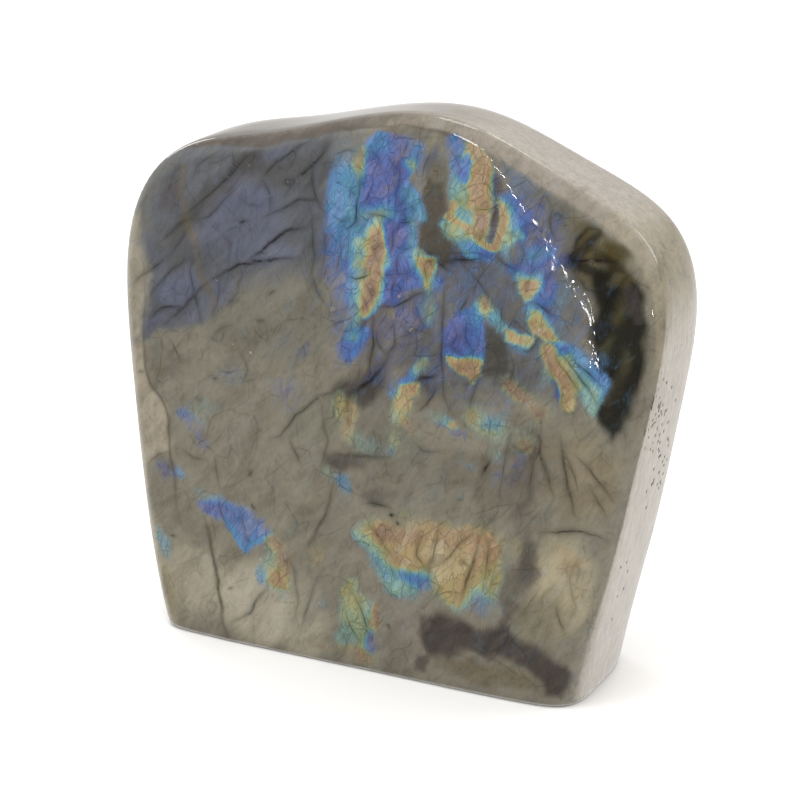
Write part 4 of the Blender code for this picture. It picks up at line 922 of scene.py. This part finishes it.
class Wire:
    """One output of a node. Arithmetic on it adds Math nodes to its tree."""

    def __init__(self, tree, socket=None):
        self.tree = tree
        self.socket = socket

    def node(self, kind, settings=None, inputs=None, output=0):
        """A new node of this kind: its settings first, then its sockets' values or wires."""
        made = self.tree.nodes.new("ShaderNode" + kind)
        for name, value in (settings or {}).items():
            if name == "stops":
                ramp = made.color_ramp.elements
                for position, colour in value[1:-1]:
                    ramp.new(position).color = colour
                ramp[0].position, ramp[0].color = value[0]
                ramp[len(ramp) - 1].position, ramp[len(ramp) - 1].color = value[-1]
            else:
                setattr(made, name, value)
        for name, value in (inputs or {}).items():
            if isinstance(value, Wire):
                self.tree.links.new(value.socket, made.inputs[name])
            else:
                made.inputs[name].default_value = value
        return Wire(self.tree, made.outputs[output])

    def math(self, operation, *values):
        return self.node("Math", {"operation": operation}, dict(enumerate(values)))

    def __add__(self, other):
        return self.math("ADD", self, other)

    def __sub__(self, other):
        return self.math("SUBTRACT", self, other)

    def __mul__(self, other):
        return self.math("MULTIPLY", self, other)

    def __rsub__(self, other):
        return self.math("SUBTRACT", other, self)

    def __abs__(self):
        return self.math("ABSOLUTE", self)

    __radd__ = __add__
    __rmul__ = __mul__

    def at_least(self, other):
        return self.math("MAXIMUM", self, other)

    def ease(self, start, end, low=0.0, high=1.0):
        """Goes smoothly from low, where this is at start, to high, where it is at end."""
        return self.node(
            "MapRange",
            {"interpolation_type": "SMOOTHSTEP"},
            {"Value": self, "From Min": start, "From Max": end, "To Min": low, "To Max": high},
        )

    def turned(self, across, along, tilt):
        """This place, turned and stretched: for grain that runs along a tilted direction."""
        turn = {"Vector": self, "Axis": (0.0, 1.0, 0.0), "Angle": -math.radians(tilt)}
        upright = self.node("VectorRotate", {"rotation_type": "AXIS_ANGLE"}, turn)
        stretch = {0: upright, 1: (1 / across, 1 / across, 1 / along)}
        return self.node("VectorMath", {"operation": "MULTIPLY"}, stretch)

    def noise(self, size, detail=2.0, roughness=0.5, distortion=0.0, output="Fac"):
        inputs = {"Scale": 1.0 / size, "Detail": detail, "Roughness": roughness}
        inputs |= {"Vector": self, "Distortion": distortion}
        return self.node("TexNoise", {"noise_dimensions": "3D"}, inputs, output)

    def shaken(self, size, reach):
        """This place, moved a little at random."""
        shake = {0: self.noise(size, 1.0, 0.5, output="Color"), 1: (2 * reach,) * 3, 2: self}
        return self.node("VectorMath", {"operation": "MULTIPLY_ADD"}, shake)

    def cells(self, feature, output):
        return self.node("TexVoronoi", {"feature": feature}, {"Vector": self, "Scale": 1.0}, output)

    def edges(self, inner, outer):
        """The lines between the cells: 1 up to the inner distance from one, 0 past the outer."""
        return self.cells("DISTANCE_TO_EDGE", "Distance").ease(inner, outer, 1.0, 0.0)

    def blend(self, under, upper, kind="MIX"):
        """Mixes two colours, with this as the share of the upper one."""
        settings = {"data_type": "RGBA", "blend_type": kind}
        return self.node("Mix", settings, {0: self, 6: under, 7: upper}, 2)


# Grain: its size across and along, and its tilt in degrees to the right.
SHARDS = (1.9, 5.6, 30)
SPLINTERS = (1.5, 4.0, -34)
PLATES = (7.0, 17.0, 38)
SLABS = (4.5, 13.0, -12)
CLOUDS = (6.0, 13.0, 35)
MOTTLE = (1.3, 2.8, 30)
FIBRE = (0.6, 5.0, 32)
WISPS = (3.0, 8.0, 46)
STRIAE = (0.25, 4.0, 8)
STREAKS = (0.8, 9.0, 5)

# Polish: roughness where it is best and worst, and what the duller rind adds.
POLISH = (0.015, 0.035)
RIND_ROUGHNESS = 0.26
FELDSPAR_IOR = 1.56
SHEEN = 0.38


def stone_material():
    material = bpy.data.materials.new("polished_labradorite")
    material.use_nodes = True
    tree = material.node_tree
    tree.nodes.clear()
    start = Wire(tree)
    metres = start.node("TexCoord", output="Object")
    place = metres.node("VectorMath", {"operation": "SCALE"}, {0: metres, "Scale": 1 / MM})
    ground = start.node("Attribute", {"attribute_name": "ground"}, output="Color")
    order, glow, rift, near, dark, rind, pit = (
        start.node("Attribute", {"attribute_name": name}, output="Fac")
        for name in ("order", "glow", "rift", "near", "dark", "rind", "pit")
    )

    # the stone is crazed into shards, and each takes the light a little differently
    shaken = place.shaken(3.4, 0.8)
    shards = shaken.turned(*SHARDS)
    splinters = shaken.turned(*SPLINTERS)
    shard = shards.cells("F1", "Color")
    splinter = splinters.cells("F1", "Color")

    # ground colour
    cloud = place.turned(*CLOUDS).noise(1.0, 5.0, 0.62, 0.7)
    mottle = place.turned(*MOTTLE).noise(1.0, 5.0, 0.7, 0.6)
    fibre = place.turned(*FIBRE).noise(1.0, 3.0, 0.6, 0.4)
    wisps = place.turned(*WISPS).noise(1.0, 4.0, 0.5, 0.5)
    colour = cloud.ease(0.40, 0.66, 0.0, 0.45).blend(ground, tint(196, 192, 186), "MULTIPLY")
    colour = mottle.ease(0.56, 0.30, 0.0, 0.24).blend(colour, tint(150, 147, 136), "MULTIPLY")
    colour = wisps.ease(0.46, 0.70, 0.0, 0.2).blend(colour, tint(158, 154, 146), "MULTIPLY")
    colour = wisps.ease(0.46, 0.26, 0.0, 0.07).blend(colour, paint(*PALE))

    # flashes, broken up by the shards
    stria = place.turned(*STRIAE).noise(1.0, 3.0, 0.6)
    ragged = place.noise(1.5, 4.0, 0.65)
    order = order + (shard - 0.5) * 0.07 + (splinter - 0.5) * 0.05 + (ragged - 0.5) * 0.12
    order = order + stria.ease(0.3, 0.7, -0.05, 0.05)
    stops = [(position, paint(*colour)) for position, colour in FLASH_COLOURS]
    flash = order.node("ValToRGB", {"stops": stops}, {"Fac": order}, "Color")
    shine = glow + (ragged - 0.5) * 0.45 + (shard - 0.5) * 0.25 + (stria - 0.5) * 0.35
    shine = shine.ease(0.0, 0.76) * stria.ease(0.25, 0.62, 0.7, 1.0)
    flash = shard.ease(0.3, 1.0, 0.0, 0.4).blend(flash, tint(170, 174, 182), "MULTIPLY")
    flash = shard.ease(0.6, 0.0, 0.0, 0.2).blend(flash, tint(120, 130, 140), "SCREEN")
    flash = mottle.ease(0.52, 0.34, 0.0, 0.4).blend(flash, tint(160, 164, 172), "MULTIPLY")
    flash = cloud.ease(0.46, 0.30, 0.0, 0.3).blend(flash, tint(120, 130, 140), "SCREEN")
    colour = shine.blend(colour, flash)

    # long cracks: a thin wavering line in a soft shade
    waver = rift + (place.noise(2.2, 3.0, 0.5) - 0.5) * 1.4
    line = abs(waver).ease(0.1, 1.1, 1.0, 0.0) * near.ease(0.62, 0.4)
    shade = near.ease(0.1, 1.3, 0.62, 0.0)
    long_crack = dark * (line * mottle.ease(0.35, 0.6, 0.25, 0.85) + shade)
    long_crack = long_crack * shine.ease(0.1, 0.7, 1.1, 1.0)

    # the web between the shards, and hairlines between larger plates
    web = shards.edges(0.006, 0.045) * mottle.ease(0.38, 0.56, 0.1, 0.8)
    fine_web = splinters.edges(0.004, 0.05) * ragged.ease(0.42, 0.58, 0.0, 0.7)
    crazing = web.at_least(fine_web) * shine.ease(0.0, 0.6, 0.15, 0.55) * (1 - rind)
    plate_line = place.shaken(9.0, 2.4).turned(*PLATES).edges(0.004, 0.026)
    plate_line = plate_line * cloud.ease(0.40, 0.56, 0.0, 0.45) * fibre.ease(0.3, 0.55, 0.4, 1.0)
    slab_line = place.shaken(6.0, 1.6).turned(*SLABS).edges(0.005, 0.03)
    hairline = plate_line.at_least(slab_line * wisps.ease(0.42, 0.60, 0.0, 0.4))
    hairline = hairline * shine.ease(0.0, 0.25, 0.5, 1.0)
    crazing = crazing.at_least(hairline * (1 - rind))
    colour = long_crack.at_least(crazing).blend(colour, tint(*CRACK), "MULTIPLY")

    # the side is paler, with faint upright streaks
    streak = place.turned(*STREAKS).noise(1.0, 4.0, 0.65)
    side = streak.ease(0.35, 0.7).blend(paint(*RIND), paint(*RIND_STREAK))
    side = mottle.ease(0.6, 0.35, 0.0, 0.35).blend(side, tint(176, 172, 168), "MULTIPLY")
    colour = rind.blend(colour, side)
    # painted shade on the floors of the pits
    colour = pit.blend(colour, paint(*PIT_SHADE))

    shader = tree.nodes.new("ShaderNodeBsdfPrincipled")
    tree.links.new(colour.socket, shader.inputs["Base Color"])
    gloss = mottle.ease(0.3, 0.7, *POLISH) + rind * RIND_ROUGHNESS
    tree.links.new(gloss.socket, shader.inputs["Roughness"])
    shader.inputs["IOR"].default_value = FELDSPAR_IOR
    shader.inputs["Specular IOR Level"].default_value = SHEEN
    output = tree.nodes.new("ShaderNodeOutputMaterial")
    tree.links.new(shader.outputs[0], output.inputs[0])
    return material


# ---------------------------------------------------------------- the skin

CLOSEST_POINTS = 0.01
SHOW_SPACING = 0.8  # the longest edge of the skin's mesh, on the show face
SIDE_SPACING = 1.0
OTHER_SPACING = 1.6
MOST_SPLITS = 4
SMOOTHINGS = 2
SHOW_NORMAL_Y = -0.6  # a normal of the show face points at least this far to the front
SQUARE_ON = 0.8  # and one of a place that may have pits, at least this far straight out
PITTED_HEIGHTS = (15, 75)  # of the right side
PIT_SEED = 11
PIT_SPREAD = 2.2  # front to back, in a cluster on the side
PIT_STEPS = ((0.1, 0.05), (0.06, 0.2))  # (inward, downward)


def refine(bm, spacing, wanted):
    """Splits edges of the wanted faces until none is longer than this, and smooths what is new."""
    for _ in range(MOST_SPLITS):
        long_edges = {edge for edge in bm.edges if edge.calc_length() > spacing * MM}
        faces = [face for face in bm.faces if not long_edges.isdisjoint(face.edges)]
        chosen = {face for face in faces if wanted(face.calc_center_median() / MM, face.normal)}
        edges = [edge for edge in long_edges if not chosen.isdisjoint(edge.link_faces)]
        if not edges:
            return
        split = bmesh.ops.subdivide_edges(bm, edges=edges, cuts=1, use_grid_fill=True)
        fresh = [item for item in split["geom_inner"] if isinstance(item, bmesh.types.BMVert)]
        for _ in range(SMOOTHINGS):
            bmesh.ops.smooth_vert(
                bm, verts=fresh, factor=0.5, use_axis_x=True, use_axis_y=True, use_axis_z=True
            )


def press_pits(bm):
    """Small pits that the polish didn't reach: single faces pushed in, with their walls."""
    rng = np.random.default_rng(PIT_SEED)
    faces = np.array(bm.faces[:])
    middles = np.array([face.calc_center_median()[:] for face in faces]) / MM
    normals = np.array([face.normal[:] for face in faces])
    right, front = normals[:, 0] > SQUARE_ON, normals[:, 1] < -SQUARE_ON
    chosen = set()
    for middle_z, middle_y, spread, count in SIDE_PITS:
        for y, z in rng.normal((middle_y, middle_z), (PIT_SPREAD, spread), (count, 2)):
            away = np.hypot(middles[right, 1] - y, middles[right, 2] - z)
            chosen.add(faces[right][np.argmin(away)])
    for x, z in FACE_PITS:
        away = np.hypot(middles[front, 0] - x, middles[front, 2] - z)
        chosen.add(faces[front][np.argmin(away)])
    # the pits' floors are marked here for the painted shade that the material lays on them
    layer = bm.verts.layers.float.new("pit")
    chosen = sorted(chosen, key=lambda face: face.index)
    for inward, downward in PIT_STEPS:
        bmesh.ops.inset_individual(bm, faces=chosen, thickness=inward * MM, depth=-downward * MM)
    for face in chosen:
        for vert in face.verts:
            vert[layer] = 1.0


def smooth_skin(node):
    """The node's surface as one smooth closed mesh, finest where its pattern is fine."""
    bm = bmesh.new()
    bm.from_mesh(node.data)
    bmesh.ops.remove_doubles(bm, verts=bm.verts, dist=CLOSEST_POINTS * MM)
    bmesh.ops.join_triangles(
        bm,
        faces=bm.faces,
        angle_face_threshold=math.radians(40),
        angle_shape_threshold=math.radians(60),
    )
    mesh = bpy.data.meshes.new("stone_skin")
    bm.to_mesh(mesh)
    skin = bpy.data.objects.new("stone_skin", mesh)
    bpy.context.scene.collection.objects.link(skin)
    surface = skin.modifiers.new("surface", "SUBSURF")
    surface.levels = surface.render_levels = 1
    evaluated = skin.evaluated_get(bpy.context.evaluated_depsgraph_get())
    bm.clear()
    bm.from_mesh(evaluated.data)
    skin.modifiers.remove(surface)
    lowest, highest = PITTED_HEIGHTS
    refine(bm, SHOW_SPACING, lambda middle, normal: normal.y < SHOW_NORMAL_Y)
    refine(bm, SIDE_SPACING, lambda middle, normal: normal.x > SQUARE_ON and lowest < middle.z < highest)
    refine(bm, OTHER_SPACING, lambda middle, normal: True)
    press_pits(bm)
    bm.to_mesh(mesh)
    bm.free()
    mesh.shade_smooth()
    return skin


def paint_skin(mesh):
    points = np.array([vert.co[:] for vert in mesh.vertices]) / MM
    normals = np.array([normal.vector[:] for normal in mesh.vertex_normals])
    painted = skin_look(points, normals)
    colours = mesh.attributes.new("ground", "FLOAT_COLOR", "POINT")
    ground = np.c_[painted.pop("ground"), np.ones(len(points))]
    colours.data.foreach_set("color", ground.ravel())
    for name, values in painted.items():
        layer = mesh.attributes.new(name, "FLOAT", "POINT")
        layer.data.foreach_set("value", values)


skin = smooth_skin(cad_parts["stone"])
paint_skin(skin.data)
skin.data.materials.clear()
skin.data.materials.append(stone_material())
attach(skin, "root")
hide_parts("stone")

# ---------------------------------------------------------------- floor, light and camera

# Here places and sizes are in metres, except in MIRROR_SPOTS.
FLOOR_HALF_SIZE = 12.0
FLOOR_COLOUR = (0.93, 0.925, 0.915, 1.0)
FLOOR_ROUGHNESS = 0.7
WALLS = (1.0, 0.99, 0.98, 1.0)
HORIZON = (0.55, 0.54, 0.53, 1.0)
LOW_FRONT = (0.22, 0.21, 0.2, 1.0)
ROOM_STRENGTH = 1.15

# Lamps: place, target, width, and how many times as bright as white paper each looks.
LAMPS = {
    "overhead": ((-0.1, -0.25, 1.15), (0, 0, 0.05), 0.5, 7.0),
    "front": ((-0.13, -1.0, 0.46), (0, 0, 0.05), 0.16, 16.0),
    "behind": ((0.18, 0.45, 1.0), (0, 0, 0.05), 0.2, 12.0),
    "back_left": ((-0.9, 0.5, 0.5), (0, 0, 0.06), 0.4, 4.0),
    "back_right": ((0.7, 0.5, 0.6), (0, 0, 0.06), 0.4, 4.0),
}

CAMERA_AZIMUTH = math.radians(27.26)
CAMERA_ELEVATION = math.radians(19.0)
CAMERA_DISTANCE = 0.5
CAMERA_TARGET = Vector((-0.00088, 0.0, 0.05187))
CAMERA_LENS = 113.19
TO_CAMERA = Vector(
    (
        math.sin(CAMERA_AZIMUTH) * math.cos(CAMERA_ELEVATION),
        -math.cos(CAMERA_AZIMUTH) * math.cos(CAMERA_ELEVATION),
        math.sin(CAMERA_ELEVATION),
    )
)

# Spots of the polish that each mirror a lamp of their own, and that lamp's width: a row of dots
# along the soft ridge, then the broad gleam at the right edge.
MIRROR_SPOTS = (
    (24, 105.6, 1.5), (24.8, 104.6, 1.5), (25.6, 103.6, 1.5), (26.4, 102.6, 1.5), (27.2, 101.5, 1.5),
    (28, 100.4, 1.5), (28.8, 99.4, 1.5), (29.6, 98.3, 1.5), (30.6, 97.2, 1.5), (32.4, 95.2, 1.3),
    (33, 94.6, 1.3), (35.8, 91.6, 1.2), (36.6, 90.6, 1.2), (38.4, 87.6, 1.0), (39, 86.6, 1.0),
    (41, 83.6, 0.9), (43.4, 79.4, 0.8), (44.4, 76.8, 0.8), (44.6, 73.6, 0.8), (44.9, 72, 0.8),
    (45, 69.5, 0.8), (55.5, 80, 8.0),
)
SPARK_DISTANCE = 0.4
SPARK_RADIANCE = 110.0


def studio_floor():
    mesh = bpy.data.meshes.new("floor")
    bm = bmesh.new()
    bmesh.ops.create_grid(bm, x_segments=1, y_segments=1, size=FLOOR_HALF_SIZE)
    bm.to_mesh(mesh)
    bm.free()
    floor = bpy.data.objects.new("floor", mesh)
    bpy.context.scene.collection.objects.link(floor)
    floor.visible_glossy = False
    material = bpy.data.materials.new("floor_paper")
    material.use_nodes = True
    shader = material.node_tree.nodes["Principled BSDF"]
    shader.inputs["Base Color"].default_value = FLOOR_COLOUR
    shader.inputs["Roughness"].default_value = FLOOR_ROUGHNESS
    mesh.materials.append(material)


def soft_room():
    """A white room, dark only low down in front, which the show face mirrors."""
    world = bpy.data.worlds.new("soft_white_room")
    world.use_nodes = True
    direction = Wire(world.node_tree).node("TexCoord", output="Generated")
    ahead, up = (direction.node("SeparateXYZ", {}, {0: direction}, axis) for axis in "YZ")
    horizon = abs(up - 0.15).ease(0.4, 0.0)
    low_front = ahead.ease(0.1, -0.5) * up.ease(0.3, 0.05)
    walls = low_front.blend(horizon.blend(WALLS, HORIZON), LOW_FRONT)
    background = world.node_tree.nodes["Background"]
    world.node_tree.links.new(walls.socket, background.inputs["Color"])
    background.inputs["Strength"].default_value = ROOM_STRENGTH
    bpy.context.scene.world = world


def studio_camera():
    data = bpy.data.cameras.new("camera")
    data.lens = CAMERA_LENS
    data.sensor_width = 36.0
    data.clip_start = 0.01
    camera = bpy.data.objects.new("camera", data)
    camera.location = CAMERA_TARGET + TO_CAMERA * CAMERA_DISTANCE
    camera.rotation_euler = (-TO_CAMERA).to_track_quat("-Z", "Y").to_euler()
    bpy.context.scene.collection.objects.link(camera)
    bpy.context.scene.camera = camera


def round_lamp(name, place, target, width, radiance):
    light = bpy.data.lights.new(name, "AREA")
    light.shape = "DISK"
    light.size = width
    light.energy = radiance * math.pi * math.pi * width * width / 4
    lamp = bpy.data.objects.new(name, light)
    lamp.location = place
    aim = Vector(target) - Vector(place)
    lamp.rotation_euler = aim.to_track_quat("-Z", "Y").to_euler()
    lamp.visible_camera = False
    bpy.context.scene.collection.objects.link(lamp)


def spark_lamps(mesh):
    """Small lamps, each where the polish mirrors it to the camera from its spot."""
    surface = [vert for vert in mesh.vertices if vert.normal.y < SHOW_NORMAL_Y]
    for number, (x, z, width) in enumerate(MIRROR_SPOTS):
        spot = min(surface, key=lambda vert: math.hypot(vert.co.x - x * MM, vert.co.z - z * MM))
        incoming = (spot.co - CAMERA_TARGET - TO_CAMERA * CAMERA_DISTANCE).normalized()
        place = spot.co + incoming.reflect(spot.normal) * SPARK_DISTANCE
        round_lamp(f"spark_{number}", place, spot.co, width * MM, SPARK_RADIANCE)


studio_floor()
soft_room()
studio_camera()
for name, lamp in LAMPS.items():
    round_lamp(name, *lamp)
spark_lamps(skin.data)
bpy.context.scene.view_settings.view_transform = "Standard"
